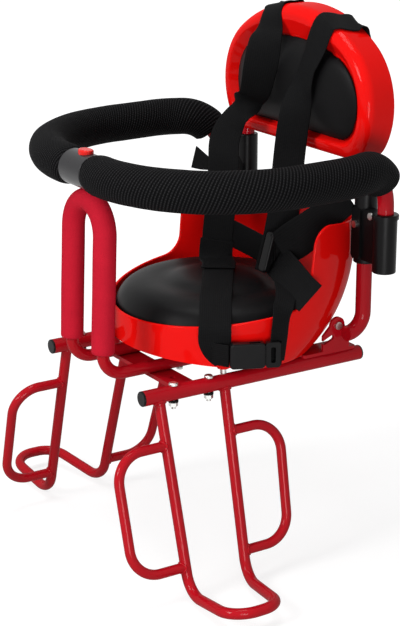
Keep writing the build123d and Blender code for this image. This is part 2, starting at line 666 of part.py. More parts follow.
def guard_foam() -> Part:
    """Make the foam of one half, which ends part of the way down the last bend."""
    rear_run = (GUARD_TOP - GUARD_TURN).normalized()
    full_turn = rear_run.get_angle(Vector(0, 0, -1))
    bend_start = GUARD_TOP - rear_run * GUARD_DOWN_BEND * tan(radians(full_turn / 2))
    across = rear_run.cross(Vector(0, 0, 1)).normalized()
    down_run = rear_run.rotate(Axis((0, 0, 0), across), -GUARD_FOAM_DOWN_ANGLE)
    reach = GUARD_DOWN_BEND * tan(radians(GUARD_FOAM_DOWN_ANGLE / 2))
    corner = bend_start + rear_run * reach
    return swept_tube(
        [
            (LATCH_END_X + SOFT_GAP, GUARD_FRONT_Y, GUARD_FRONT_Z),
            (GUARD_HALF_WIDTH, GUARD_FRONT_Y, GUARD_FRONT_Z),
            GUARD_TURN,
            corner,
            corner + down_run * reach * 1.02,
        ],
        GUARD_BENDS,
        GUARD_FOAM_OD,
        GUARD_OD + 2 * SLEEVE_CLEARANCE,
    )


foam_half = guard_foam()
TUBE_END_X = LATCH_END_X + 2.0
save(guard_half(TUBE_END_X), "left_guard_tube")
save(mirrored(guard_half(LATCH_END_X - LATCH_SOCKET_DEPTH), -1), "right_guard_tube")
save(foam_half, "left_guard_foam")
save(mirrored(foam_half, -1), "right_guard_foam")

# Latch: a housing on the right half, with a mouth for the left half's tongue
BUTTON_PLACE = (BUTTON_X, GUARD_FRONT_Y)
BUTTON_TOP_Z = GUARD_FRONT_Z + LATCH_OD / 2 + BUTTON_PROUD
POCKET_FLOOR_Z = GUARD_FRONT_Z + LATCH_OD / 2 - BUTTON_POCKET_DEPTH
with BuildPart() as latch_housing:
    with Locations((0, GUARD_FRONT_Y, GUARD_FRONT_Z)):
        Cylinder(LATCH_OD / 2, LATCH_LENGTH, rotation=(0, 90, 0))
    fillet(latch_housing.edges().filter_by(GeomType.CIRCLE), 1.0)
    with Locations((LATCH_END_X, GUARD_FRONT_Y, GUARD_FRONT_Z)):
        Cylinder(
            LATCH_MOUTH_DIA / 2,
            LATCH_MOUTH_DEPTH,
            rotation=(0, 90, 0),
            align=DOWNWARD,
            mode=Mode.SUBTRACT,
        )
    with Locations((-LATCH_END_X, GUARD_FRONT_Y, GUARD_FRONT_Z)):
        Cylinder(
            GUARD_OD / 2 + SLEEVE_CLEARANCE,
            LATCH_SOCKET_DEPTH,
            rotation=(0, 90, 0),
            align=UPWARD,
            mode=Mode.SUBTRACT,
        )
    with BuildSketch(Plane.XY.offset(POCKET_FLOOR_Z)):
        with Locations(BUTTON_PLACE):
            Ellipse(BUTTON_LENGTH / 2 + SOFT_GAP, BUTTON_WIDTH / 2 + SOFT_GAP)
    extrude(amount=LATCH_OD, mode=Mode.SUBTRACT)
save(latch_housing.part, "latch_housing")

with BuildPart() as latch_tongue:
    with BuildSketch(Plane.YZ.offset(TUBE_END_X)):
        with Locations((GUARD_FRONT_Y, GUARD_FRONT_Z)):
            Circle(GUARD_OD / 2)
    extrude(amount=LATCH_END_X - TUBE_END_X)
    with BuildSketch(Plane.YZ.offset(LATCH_END_X)):
        with Locations((GUARD_FRONT_Y, GUARD_FRONT_Z)):
            RectangleRounded(TONGUE_WIDTH, TONGUE_THICKNESS, TONGUE_THICKNESS / 3)
    extrude(amount=-TONGUE_LENGTH)
save(latch_tongue.part, "latch_tongue")

SKIRT_BOTTOM_Z = BUTTON_TOP_Z - BUTTON_PROUD - BUTTON_SKIRT
with BuildPart() as release_button:
    with BuildSketch(Plane.XY.offset(SKIRT_BOTTOM_Z)):
        with Locations(BUTTON_PLACE):
            Ellipse(BUTTON_LENGTH / 2, BUTTON_WIDTH / 2)
    extrude(amount=BUTTON_TOP_Z - SKIRT_BOTTOM_Z)
    fillet(release_button.edges().group_by(Axis.Z)[-1], BUTTON_PROUD / 2)
    with BuildSketch(Plane.XY.offset(POCKET_FLOOR_Z + BUTTON_TRAVEL + SOFT_GAP)):
        with Locations(BUTTON_PLACE):
            Circle(BUTTON_STEM_DIA / 2)
    extrude(amount=SKIRT_BOTTOM_Z - POCKET_FLOOR_Z - BUTTON_TRAVEL - SOFT_GAP)
save(release_button.part, "release_button")

# The spring's coils stand as rings between the pocket's floor and the button
with BuildPart() as button_spring:
    with BuildSketch(Plane.XY.offset(POCKET_FLOOR_Z)):
        with Locations(BUTTON_PLACE):
            Circle(SPRING_DIA / 2)
            Circle(SPRING_DIA / 2 - SPRING_WIRE, mode=Mode.SUBTRACT)
    extrude(amount=SKIRT_BOTTOM_Z - POCKET_FLOOR_Z)
save(button_spring.part, "button_spring")

# Bucket seat: a round lofted wall, a pan across it, and a rim that rises into side wings
SEAT_BOSS_PLACES = [
    (sign * x, y)
    for sign in (1, -1)
    for x, y in ((FRONT_STUD_X, FRONT_STUD_Y), (REAR_STUD_X, REAR_STUD_Y))
]
BIG = 2 * BACK_HALF_WIDTH


def seat_form(inset: float) -> Part:
    """Loft the bucket's round form, drawn in by a wall's thickness."""
    with BuildPart() as form:
        for z, half_width, half_length, centre_y in SEAT_LEVELS:
            with BuildSketch(Plane.XY.offset(z)):
                with Locations((0, centre_y)):
                    Ellipse(half_width - inset, half_length - inset)
        loft()
    return form.part


with BuildPart() as seat_hollow:
    add(seat_form(SEAT_WALL))
    with Locations((0, 0, SEAT_PAN_Z)):
        Box(BIG, 2 * BIG, SEAT_WALL, mode=Mode.SUBTRACT)

with BuildPart() as seat_shell:
    add(seat_form(0.0))
    add(seat_hollow.part, mode=Mode.SUBTRACT)
    with BuildSketch(Plane.YZ):
        with BuildLine():
            rim = FilletPolyline(
                (RIM_FRONT_Y, RIM_FRONT_Z),
                (WING_FOOT_Y, WING_FOOT_Z),
                (WING_TOP_Y, WING_TOP_Z),
                (WING_REAR_Y, WING_REAR_Z),
                radius=[WING_FOOT_BEND, WING_TOP_BEND],
            )
            Polyline(rim @ 1, (WING_REAR_Y, BIG), (RIM_FRONT_Y, BIG), rim @ 0)
        make_face()
    extrude(amount=BIG, both=True, mode=Mode.SUBTRACT)
    rim_edges = seat_shell.edges().filter_by_position(Axis.Z, RIM_FRONT_Z, WING_TOP_Z)
    fillet(rim_edges.sort_by(SortBy.LENGTH)[-2:], RIM_EDGE)
    with BuildSketch(Plane.YZ):
        with BuildLine():
            Polyline(
                (RIM_FRONT_Y, SKIRT_FRONT_Z),
                (SKIRT_LEVEL_Y, SEAT_BOTTOM_Z),
                (RIM_FRONT_Y, SEAT_BOTTOM_Z),
                close=True,
            )
        make_face()
    extrude(amount=BIG, both=True, mode=Mode.SUBTRACT)
    with BuildSketch(Plane.XY.offset(SEAT_BOTTOM_Z)):
        with Locations(*SEAT_BOSS_PLACES, *SEAT_SCREW_PLACES):
            Circle(BOSS_DIA / 2)
    extrude(amount=SEAT_PAN_Z - SEAT_BOTTOM_Z)
    with BuildSketch(Plane.XY.offset(SEAT_BOTTOM_Z)):
        with Locations(*SEAT_BOSS_PLACES):
            Circle(STUD_DIA / 4 + BOLT_CLEARANCE)
        with Locations(*SEAT_SCREW_PLACES):
            Circle(SEAT_SCREW_DIA / 2 + BOLT_CLEARANCE)
    extrude(amount=(SEAT_PAN_Z - SEAT_BOTTOM_Z) * 0.7, mode=Mode.SUBTRACT)
save(seat_shell.part, "seat_shell")

# Seat pad: a dome that fills the bucket's lower level inside its wall
_, PAD_LEVEL_HALF_WIDTH, PAD_LEVEL_HALF_LENGTH, PAD_LEVEL_Y = SEAT_LEVELS[1]
PAD_HALF_WIDTH = PAD_LEVEL_HALF_WIDTH - SEAT_WALL - SEAT_PAD_SIDE_GAP
PAD_HALF_LENGTH = PAD_LEVEL_HALF_LENGTH - SEAT_WALL - SEAT_PAD_END_GAP
with BuildPart() as seat_pad:
    for height_share, size_share in SEAT_PAD_DOME:
        with BuildSketch(Plane.XY.offset(PAD_BASE_Z + height_share * (SEAT_PAD_TOP_Z - PAD_BASE_Z))):
            with Locations((0, PAD_LEVEL_Y)):
                Ellipse(PAD_HALF_WIDTH * size_share, PAD_HALF_LENGTH * size_share)
    loft()
save(seat_pad.part, "seat_pad")

# Studs that carry the bucket: on the rails in front and on the bracket flanges behind
with BuildPart() as seat_studs:
    for sign in (1, -1):
        for x, y, base_z in (
            (FRONT_STUD_X, FRONT_STUD_Y, RAIL_TOP_Z),
            (REAR_STUD_X, REAR_STUD_Y, FLANGE_TOP_Z),
        ):
            with BuildSketch(Plane.XY.offset(base_z)):
                with Locations((sign * x, y)):
                    Circle(STUD_DIA / 2)
            extrude(amount=SEAT_BOTTOM_Z - base_z)
            with BuildSketch(Plane.XY.offset(SEAT_BOTTOM_Z)):
                with Locations((sign * x, y)):
                    Circle(STUD_DIA / 4)
            extrude(amount=(SEAT_PAN_Z - SEAT_BOTTOM_Z) / 2)
save(seat_studs.part, "seat_studs")

with BuildPart() as seat_screws:
    with BuildSketch(Plane.XY.offset(HANDLE_BOTTOM_Z)):
        with Locations(*SEAT_SCREW_PLACES):
            Circle(SEAT_SCREW_HEAD_DIA / 2)
    extrude(amount=-SEAT_SCREW_HEAD_HEIGHT)
    with BuildSketch(Plane.XY.offset(HANDLE_BOTTOM_Z)):
        with Locations(*SEAT_SCREW_PLACES):
            Circle(SEAT_SCREW_DIA / 2)
    extrude(amount=(SEAT_PAN_Z + SEAT_BOTTOM_Z) / 2 - HANDLE_BOTTOM_Z)
save(seat_screws.part, "seat_screws")


# Backrest: a D-shaped shell, dished in front for the pad and open behind
BACK_SHAPE = (BACK_HALF_WIDTH, BACK_RISE, BACK_DROP, BACK_SIDE_RADIUS, BACK_CORNER)
RIDGE_SHAPE = (RIDGE_HALF_WIDTH, RIDGE_RISE, RIDGE_DROP, RIDGE_SIDE_RADIUS, RIDGE_CORNER)
DISH_SHAPE = (DISH_HALF_WIDTH, DISH_RISE, DISH_DROP, DISH_SIDE_RADIUS, DISH_CORNER)


def crown_radius(half_width: float, rise: float, side_radius: float) -> float:
    """Give the radius of the top arc that meets both side arcs smoothly."""
    return ((half_width - side_radius) ** 2 + rise**2 - side_radius**2) / (2 * (rise - side_radius))


def back_outline(shape: tuple, inset: float = 0.0) -> Sketch:
    """Draw a D: a top arc, two side arcs, two corners and a flat bottom."""
    half_width, rise, drop, side_radius, corner_radius = shape
    side_x = half_width - side_radius
    top_radius = crown_radius(half_width, rise, side_radius)
    corner_y = corner_radius - drop
    corner_x = side_x + sqrt((side_radius - corner_radius) ** 2 - corner_y**2)
    top_angle = degrees(atan2(top_radius - rise, side_x))
    corner_angle = degrees(atan2(corner_y, corner_x - side_x))
    with BuildSketch() as outline:
        with BuildLine():
            CenterArc((0, rise - top_radius), top_radius - inset, 90, top_angle - 90)
            CenterArc((side_x, 0), side_radius - inset, top_angle, corner_angle - top_angle)
            corner = CenterArc((corner_x, corner_y), corner_radius - inset, corner_angle, -90 - corner_angle)
            Line(corner @ 1, (0, inset - drop))
            mirror(about=Plane.YZ)
        make_face()
    return outline.sketch


def back_plane(y: float) -> Plane:
    """Give the upright plane of the backrest at one depth, seen from the front."""
    return Plane(origin=(0, y, BACK_CENTRE_Z), x_dir=(1, 0, 0), z_dir=(0, -1, 0))


with BuildPart() as backrest_shell:
    with BuildSketch(back_plane(BACK_REAR_Y)):
        add(back_outline(BACK_SHAPE))
    extrude(amount=BACK_DEPTH)
    fillet(backrest_shell.edges().group_by(Axis.Y)[0], BACK_EDGE)
    fillet(backrest_shell.edges().group_by(Axis.Y)[-1], BACK_REAR_EDGE)
    with BuildSketch(back_plane(BACK_REAR_Y)):
        add(back_outline(BACK_SHAPE, BACK_WALL))
    extrude(amount=BACK_REAR_Y - PLATE_REAR_Y, mode=Mode.SUBTRACT)
    with BuildSketch(back_plane(BACK_FRONT_Y)):
        add(back_outline(RIDGE_SHAPE))
    with BuildSketch(back_plane(PLATE_FRONT_Y)):
        add(back_outline(DISH_SHAPE))
    loft(mode=Mode.SUBTRACT)
    fillet(backrest_shell.faces().sort_by(Axis.Y)[0].inner_wires()[0].edges(), DISH_EDGE)
    with Locations((UPRIGHT_X, UPRIGHT_Y, BACK_BOTTOM_Z), (-UPRIGHT_X, UPRIGHT_Y, BACK_BOTTOM_Z)):
        Cylinder(UPRIGHT_OD / 2 + SLEEVE_CLEARANCE, BACK_DROP * 1.6, mode=Mode.SUBTRACT)
    with BuildSketch(Plane.XZ.offset(-PLATE_FRONT_Y)):
        with Locations(*BACK_BOLT_PLACES):
            Circle(BACK_BOLT_DIA / 2 + BOLT_CLEARANCE)
    extrude(amount=PLATE_FRONT_Y - BACK_REAR_Y, mode=Mode.SUBTRACT)
save(backrest_shell.part, "backrest_shell")

with BuildPart() as backrest_pad:
    with BuildSketch(back_plane(PLATE_FRONT_Y - SOFT_GAP)):
        add(back_outline(DISH_SHAPE, BACK_PAD_GAP))
    extrude(amount=BACK_PAD_THICKNESS)
    fillet(backrest_pad.edges().group_by(Axis.Y)[0], BACK_PAD_EDGE)
save(backrest_pad.part, "backrest_pad")

BOLT_SEAT_Y = UPRIGHT_Y + UPRIGHT_OD / 2
with BuildPart() as backrest_bolts:
    with BuildSketch(Plane.XZ.offset(-BOLT_SEAT_Y)):
        with Locations(*BACK_BOLT_PLACES):
            Circle(BACK_BOLT_HEAD_DIA / 2)
    extrude(amount=-BACK_BOLT_HEAD_HEIGHT)
    with BuildSketch(Plane.XZ.offset(-BOLT_SEAT_Y)):
        with Locations(*BACK_BOLT_PLACES):
            Circle(BACK_BOLT_DIA / 2)
    extrude(amount=BOLT_SEAT_Y - PLATE_FRONT_Y)
save(backrest_bolts.part, "backrest_bolts")

# Harness: shoulder straps over the top of the backrest, waist belts, and lap straps over the rim
STRAP_INNER_X = min(abs(x) for x in SHOULDER_X.values()) - STRAP_WIDTH / 2
STRAP_LIFT = STRAP_THICKNESS / 2 + STRAP_GAP
BACK_TOP_RADIUS = crown_radius(BACK_HALF_WIDTH, BACK_RISE, BACK_SIDE_RADIUS)
BACK_TOP_CENTRE_Z = BACK_CENTRE_Z + BACK_RISE - BACK_TOP_RADIUS
OVER_TOP_Z = BACK_TOP_CENTRE_Z + sqrt(BACK_TOP_RADIUS**2 - STRAP_INNER_X**2) + STRAP_LIFT
BEHIND_Y = BACK_REAR_Y + STRAP_LIFT
BEFORE_Y = PLATE_FRONT_Y - SOFT_GAP - BACK_PAD_THICKNESS - STRAP_LIFT
LAP_Z = SEAT_PAD_TOP_Z + STRAP_LIFT
SHOULDER_END_Z = LAP_Z + STRAP_THICKNESS / 2 + STRAP_GAP

for side_name in SIDES:
    strap_x = SHOULDER_X[side_name]
    elbow_y, elbow_z = SHOULDER_ELBOW[side_name]
    shoulder = swept_strap(
        [
            (strap_x, BEHIND_Y, OVER_TOP_Z - SHOULDER_TAIL),
            (strap_x, BEHIND_Y, OVER_TOP_Z),
            (strap_x, SHOULDER_BEND_Y, OVER_TOP_Z),
            (strap_x, BEFORE_Y, SHOULDER_LEAVE_Z),
            (strap_x, BEFORE_Y, SHOULDER_FOLD_Z),
            (strap_x, elbow_y, elbow_z),
            (strap_x, SHOULDER_END_Y, SHOULDER_END_Z),
        ],
        list(SHOULDER_BENDS),
        (1, 0, 0),
        STRAP_WIDTH,
    )
    save(shoulder, f"{side_name}_shoulder_strap")


def straight_strap(start: Vector, end: Vector, width: float) -> Part:
    """Make a straight run of webbing that stands on its edge."""
    with BuildPart() as run:
        with BuildSketch(Plane(origin=start, x_dir=(0, 0, 1), z_dir=end - start)):
            Rectangle(width, STRAP_THICKNESS)
        extrude(amount=(end - start).length)
    return run.part


waist_belt = straight_strap(Vector(*BELT_REAR), Vector(*BELT_FRONT), BELT_WIDTH)
for side_name, side in SIDES.items():
    save(mirrored(waist_belt, side), f"{side_name}_waist_belt")

# The lap straps end at the buckle that hangs outside the left of the bucket
BUCKLE_AXIS = Vector(cos(radians(BUCKLE_ANGLE)), sin(radians(BUCKLE_ANGLE)), 0)
BUCKLE_FACE = BUCKLE_AXIS.cross(Vector(0, 0, 1))
BUCKLE_CENTRE = Vector(*BUCKLE_PLACE)
TONGUE_CENTRE = BUCKLE_CENTRE + BUCKLE_AXIS * ((BUCKLE_LENGTH + BUCKLE_TONGUE_LENGTH) / 2 + SOFT_GAP)
LINK_ENDS = {
    "right": BUCKLE_CENTRE - BUCKLE_AXIS * (BUCKLE_LENGTH / 2 + LINK_GAP),
    "left": TONGUE_CENTRE + BUCKLE_AXIS * (BUCKLE_TONGUE_LENGTH / 2 + LINK_GAP),
}
for side_name in SIDES:
    start_x, start_y = LAP_START[side_name]
    rim_x, rim_y, rim_z = LAP_RIM[side_name]
    run = Vector(rim_x - start_x, rim_y - start_y, 0)
    level_end = Vector(start_x, start_y, LAP_Z) + run * LAP_LEVEL_SHARE[side_name]
    over_rim = swept_strap(
        [(start_x, start_y, LAP_Z), tuple(level_end), (rim_x, rim_y, rim_z), (rim_x, rim_y, LAP_DROP_Z)],
        [4 * LAP_BEND, LAP_BEND],
        tuple(run.normalized().cross(Vector(0, 0, 1))),
        LAP_WIDTH[side_name],
    )
    link_start = Vector(rim_x, rim_y, BUCKLE_CENTRE.Z)
    link = straight_strap(link_start, LINK_ENDS[side_name], LINK_WIDTH)
    with BuildPart() as lap_strap:
        add(over_rim)
        add(link)
    save(lap_strap.part, f"{side_name}_lap_strap")


def buckle_plane(centre: Vector) -> Plane:
    """Give the upright plane through a buckle piece, along the line of the lap straps."""
    return Plane(origin=centre, x_dir=tuple(BUCKLE_AXIS), z_dir=tuple(BUCKLE_FACE))


# Side-release buckle: a hollow body with side windows, and a tongue whose two arms catch in them
ARM_TOP = BUCKLE_HEIGHT / 2 - BUCKLE_WALL - SOFT_GAP
WINDOW_X = BUCKLE_LENGTH / 2 - BUCKLE_WINDOW_END - BUCKLE_WINDOW_LENGTH / 2
with BuildPart() as buckle_body:
    with BuildSketch(buckle_plane(BUCKLE_CENTRE)):
        RectangleRounded(BUCKLE_LENGTH, BUCKLE_HEIGHT, BUCKLE_THICKNESS / 2)
    extrude(amount=BUCKLE_THICKNESS / 2, both=True)
    buckle_front = buckle_body.faces().sort_by(Axis(BUCKLE_PLACE, tuple(BUCKLE_FACE)))[-1]
    fillet(buckle_front.edges(), BUCKLE_THICKNESS / 5)
    with BuildSketch(buckle_plane(BUCKLE_CENTRE)):
        with Locations(((BUCKLE_LENGTH - BUCKLE_CAVITY_DEPTH) / 2, 0)):
            Rectangle(BUCKLE_CAVITY_DEPTH, BUCKLE_HEIGHT - 2 * BUCKLE_WALL)
        with Locations((WINDOW_X, 0)):
            Rectangle(BUCKLE_WINDOW_LENGTH, 2 * BUCKLE_HEIGHT)
    extrude(amount=BUCKLE_ARM / 2 + SOFT_GAP, both=True, mode=Mode.SUBTRACT)
save(buckle_body.part, "buckle_body")

TONGUE_BACK_X = -BUCKLE_TONGUE_LENGTH / 2
CATCH_X = WINDOW_X - BUCKLE_AXIS.dot(TONGUE_CENTRE - BUCKLE_CENTRE)
with BuildPart() as buckle_tongue:
    with BuildSketch(buckle_plane(TONGUE_CENTRE)):
        RectangleRounded(BUCKLE_TONGUE_LENGTH, BUCKLE_HEIGHT, BUCKLE_SLOT / 2)
        RectangleRounded(BUCKLE_SLOT, BUCKLE_HEIGHT - 2 * BUCKLE_SLOT, BUCKLE_SLOT / 3, mode=Mode.SUBTRACT)
    extrude(amount=BUCKLE_THICKNESS / 3, both=True)
    with BuildSketch(buckle_plane(TONGUE_CENTRE)):
        arm_y = ARM_TOP - BUCKLE_ARM / 2
        with Locations((TONGUE_BACK_X, arm_y), (TONGUE_BACK_X, 0), (TONGUE_BACK_X, -arm_y)):
            Rectangle(BUCKLE_ARM_LENGTH, BUCKLE_ARM, align=(Align.MAX, Align.CENTER))
        catch_height = BUCKLE_HEIGHT / 2 - BUCKLE_CATCH_SINK - ARM_TOP + BUCKLE_ARM
        for catch_side in (1, -1):
            with Locations((CATCH_X, catch_side * (ARM_TOP - BUCKLE_ARM + catch_height / 2))):
                RectangleRounded(BUCKLE_CATCH_LENGTH, catch_height, BUCKLE_ARM / 3)
    extrude(amount=BUCKLE_ARM / 2, both=True)
save(buckle_tongue.part, "buckle_tongue")

# Slider bar on the front of the left shoulder strap, near its lower end
SLIDER_RUN = Vector(
    0, SHOULDER_END_Y - SHOULDER_ELBOW["left"][0], SHOULDER_END_Z - SHOULDER_ELBOW["left"][1]
).normalized()
SLIDER_FACE = SLIDER_RUN.cross(Vector(-1, 0, 0)).normalized()
SLIDER_CENTRE = (
    Vector(SHOULDER_X["left"], SHOULDER_END_Y, SHOULDER_END_Z)
    - SLIDER_RUN * SLIDER_LENGTH * 0.7
    - SLIDER_FACE * (STRAP_THICKNESS / 2 + STRAP_GAP)
)
with BuildPart() as strap_slider:
    with BuildSketch(
        Plane(origin=SLIDER_CENTRE, x_dir=tuple(SLIDER_RUN), z_dir=tuple(SLIDER_FACE * -1))
    ):
        RectangleRounded(SLIDER_LENGTH, SLIDER_WIDTH, SLIDER_WIDTH / 3)
    extrude(amount=SLIDER_THICKNESS)
    slider_front = strap_slider.faces().sort_by(Axis(tuple(SLIDER_CENTRE), tuple(SLIDER_FACE * -1)))[-1]
    fillet(slider_front.edges(), SLIDER_THICKNESS / 3)
save(strap_slider.part, "strap_slider")
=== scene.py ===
"""Dress a child's bicycle seat: finishes on the rigid frame, and its foam, pads and webbing.

Sizes in the classes are millimetres in the frame of the solids; meshes are metres.
"""

import logging
import math
from dataclasses import dataclass, field
from enum import Enum
from typing import Callable, Iterator, Sequence

import bmesh
import bpy
from mathutils import Matrix, Vector, noise


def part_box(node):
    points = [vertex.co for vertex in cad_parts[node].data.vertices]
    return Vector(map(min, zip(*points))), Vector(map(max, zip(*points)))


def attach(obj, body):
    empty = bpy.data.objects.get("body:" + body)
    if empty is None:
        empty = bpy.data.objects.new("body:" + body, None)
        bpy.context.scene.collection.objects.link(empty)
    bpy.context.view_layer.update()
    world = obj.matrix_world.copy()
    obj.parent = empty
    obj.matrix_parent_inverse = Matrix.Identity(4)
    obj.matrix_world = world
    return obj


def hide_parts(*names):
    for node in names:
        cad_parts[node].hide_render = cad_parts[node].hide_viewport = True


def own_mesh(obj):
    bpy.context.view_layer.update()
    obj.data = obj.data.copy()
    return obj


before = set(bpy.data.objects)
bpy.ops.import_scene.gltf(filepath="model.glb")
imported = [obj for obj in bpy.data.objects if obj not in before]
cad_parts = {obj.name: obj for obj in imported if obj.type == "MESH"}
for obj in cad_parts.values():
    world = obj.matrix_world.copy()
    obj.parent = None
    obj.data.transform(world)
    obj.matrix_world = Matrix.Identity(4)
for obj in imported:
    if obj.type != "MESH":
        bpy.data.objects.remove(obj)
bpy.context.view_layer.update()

MM = 0.001
SEAT_BODY = "seat_frame"
SIDES = {"left": 1, "right": -1}
LOG = logging.getLogger("child_seat")

Colour = tuple[float, float, float]
Point = tuple[float, float, float]
Socket = bpy.types.NodeSocket
Material = bpy.types.Material
Shape = bmesh.types.BMesh
Vert = bmesh.types.BMVert
Piece = bpy.types.Object


def rgba(colour: Colour) -> tuple[float, float, float, float]:
    """Give a colour with full opacity."""
    return (*colour, 1.0)


class NodeGraph:
    """The node tree of one material, with short calls for the nodes that finishes use."""

    def __init__(self, name: str) -> None:
        """Start a material with a principled shader.

        Args:
            name: Name of the new material.
        """
        self.material = bpy.data.materials.new(name)
        self.material.use_nodes = True
        self.tree = self.material.node_tree
        self.tree.nodes.clear()
        self.shader = self.tree.nodes.new("ShaderNodeBsdfPrincipled")
        output = self.tree.nodes.new("ShaderNodeOutputMaterial")
        self.tree.links.new(self.shader.outputs["BSDF"], output.inputs["Surface"])

    def add(self, kind: str, sockets: dict | None = None, **settings: object) -> bpy.types.Node:
        """Add a node, set it up and link its inputs.

        Args:
            kind: Node type without its ShaderNode prefix.
            sockets: Values or output sockets for the inputs, by name or index.
            settings: Properties of the node.

        Returns:
            The new node.
        """
        node = self.tree.nodes.new("ShaderNode" + kind)
        for key, value in settings.items():
            setattr(node, key, value)
        for key, value in (sockets or {}).items():
            self.feed(node, key, value)
        return node

    def feed(self, node: bpy.types.Node, key: str | int, value: object) -> None:
        """Link a socket to an input, or set the input's own value.

        Args:
            node: The node that has the input.
            key: Name or index of the input.
            value: An output socket or a plain value.
        """
        if isinstance(value, Socket):
            self.tree.links.new(value, node.inputs[key])
        else:
            node.inputs[key].default_value = value

    def set(self, **sockets: object) -> None:
        """Set the shader's inputs.

        Args:
            sockets: Values or output sockets by input, with underscores between a name's words.
        """
        for key, value in sockets.items():
            name = key.replace("_", " ").title().replace("Ior", "IOR")
            self.feed(self.shader, name, value)

    def place(self, kind: str = "Object") -> Socket:
        """Give the coordinates that a pattern follows."""
        return self.add("TexCoord").outputs[kind]

    def stretch(self, vector: Socket, scale: Point) -> Socket:
        """Scale coordinates by axis."""
        return self.add("Mapping", {"Vector": vector, "Scale": scale}).outputs[0]

    def noise(self, vector: Socket, scale: float, detail: float = 3.0) -> Socket:
        """Give a noise value at each point."""
        sockets = {"Vector": vector, "Scale": scale, "Detail": detail, "Roughness": 0.55}
        return self.add("TexNoise", sockets).outputs[0]

    def cells(self, vector: Socket, scale: float) -> Socket:
        """Give the distance to the nearest of many scattered points."""
        return self.add("TexVoronoi", {"Vector": vector, "Scale": scale}).outputs["Distance"]

    def math(self, operation: str, *values: object) -> Socket:
        """Combine values with one operation."""
        return self.add("Math", dict(enumerate(values)), operation=operation).outputs[0]

    def ramp(self, factor: Socket, low: float, high: float) -> Socket:
        """Map a factor so that low gives 0 and high gives 1."""
        sockets = {"Value": factor, "From Min": low, "From Max": high}
        return self.add("MapRange", sockets, clamp=True).outputs[0]

    def span(self, factor: Socket, low: float, high: float) -> Socket:
        """Map a factor of 0 to 1 onto a span of values."""
        return self.add("MapRange", {"Value": factor, "To Min": low, "To Max": high}).outputs[0]

    def blend(self, factor: Socket, first: object, second: object) -> Socket:
        """Blend two colours.

        Args:
            factor: 0 for the first colour, 1 for the second.
            first: A colour or a colour socket.
            second: A colour or a colour socket.

        Returns:
            The blended colour.
        """
        node = self.add("Mix", data_type="RGBA")
        values = {0: factor, 6: first, 7: second}
        for key, value in values.items():
            self.feed(node, key, rgba(value) if isinstance(value, tuple) else value)
        return node.outputs[2]

    def bump(self, height: Socket, strength: float, distance: float, below: Socket | None = None) -> Socket:
        """Turn a height into a normal.

        Args:
            height: Height in the range 0 to 1.
            strength: How much of the bump shows.
            distance: Size of the bump in metres.
            below: Normal of a coarser bump under this one.

        Returns:
            The normal socket.
        """
        node = self.add("Bump", {"Strength": strength, "Distance": distance, "Height": height})
        if below is not None:
            self.feed(node, "Normal", below)
        return node.outputs[0]


@dataclass(frozen=True)
class TubePaint:
    """Glossy baked paint on steel tube, with a faint orange-peel surface and dull scuffs."""

    name: str = "tube_paint"
    colour: Colour = (0.440, 0.005, 0.012)
    scuff: Colour = (0.350, 0.004, 0.009)

    def material(self) -> Material:
        """Build the paint.

        Returns:
            The finished material.
        """
        graph = NodeGraph(self.name)
        place = graph.place()
        cloud = graph.noise(place, 9.0)
        marks = graph.ramp(graph.noise(graph.stretch(place, (60.0, 60.0, 14.0)), 3.0, 6.0), 0.56, 0.72)
        tone = graph.blend(cloud, self.scuff, self.colour)
        graph.set(base_color=tone, specular_ior_level=0.0, coat_weight=0.2, coat_roughness=0.1)
        graph.set(roughness=graph.span(graph.math("MULTIPLY", marks, cloud), 0.26, 0.5))
        peel = graph.bump(graph.noise(place, 420.0, 2.0), 0.1, 0.0004)
        graph.set(normal=graph.bump(graph.noise(place, 60.0, 1.0), 0.06, 0.001, peel))
        return graph.material


@dataclass(frozen=True)
class ShellPlastic:
    """Glossy moulded plastic, even in colour, with faint flow marks and fine scratches."""

    name: str = "shell_plastic"
    colour: Colour = (0.780, 0.005, 0.004)
    deep: Colour = (0.700, 0.004, 0.003)

    def material(self) -> Material:
        """Build the plastic.

        Returns:
            The finished material.
        """
        graph = NodeGraph(self.name)
        place = graph.place()
        flow = graph.noise(graph.stretch(place, (5.0, 5.0, 14.0)), 1.6)
        graph.set(base_color=graph.blend(flow, self.deep, self.colour))
        scratch = graph.noise(graph.stretch(place, (30.0, 260.0, 260.0)), 2.0, 5.0)
        graph.set(roughness=graph.span(scratch, 0.24, 0.36), specular_ior_level=0.0)
        graph.set(coat_weight=0.13, coat_roughness=graph.span(scratch, 0.03, 0.08))
        ripple = graph.bump(graph.noise(place, 22.0, 1.0), 0.05, 0.003)
        graph.set(normal=graph.bump(scratch, 0.02, 0.0003, ripple))
        return graph.material


@dataclass(frozen=True)
class GripFoam:
    """Matt closed-cell foam with fine pores."""

    name: str = "grip_foam"
    colour: Colour = (0.570, 0.012, 0.031)
    pore: Colour = (0.430, 0.008, 0.022)

    def material(self) -> Material:
        """Build the foam.

        Returns:
            The finished material.
        """
        graph = NodeGraph(self.name)
        place = graph.place()
        pores = graph.ramp(graph.cells(place, 900.0), 0.1, 0.6)
        soft = graph.noise(place, 40.0, 4.0)
        body = graph.blend(soft, self.pore, self.colour)
        graph.set(base_color=graph.blend(pores, self.pore, body), roughness=0.72)
        graph.set(specular_ior_level=0.06)
        grain = graph.bump(pores, 0.28, 0.0004)
        graph.set(normal=graph.bump(soft, 0.12, 0.0015, grain))
        return graph.material


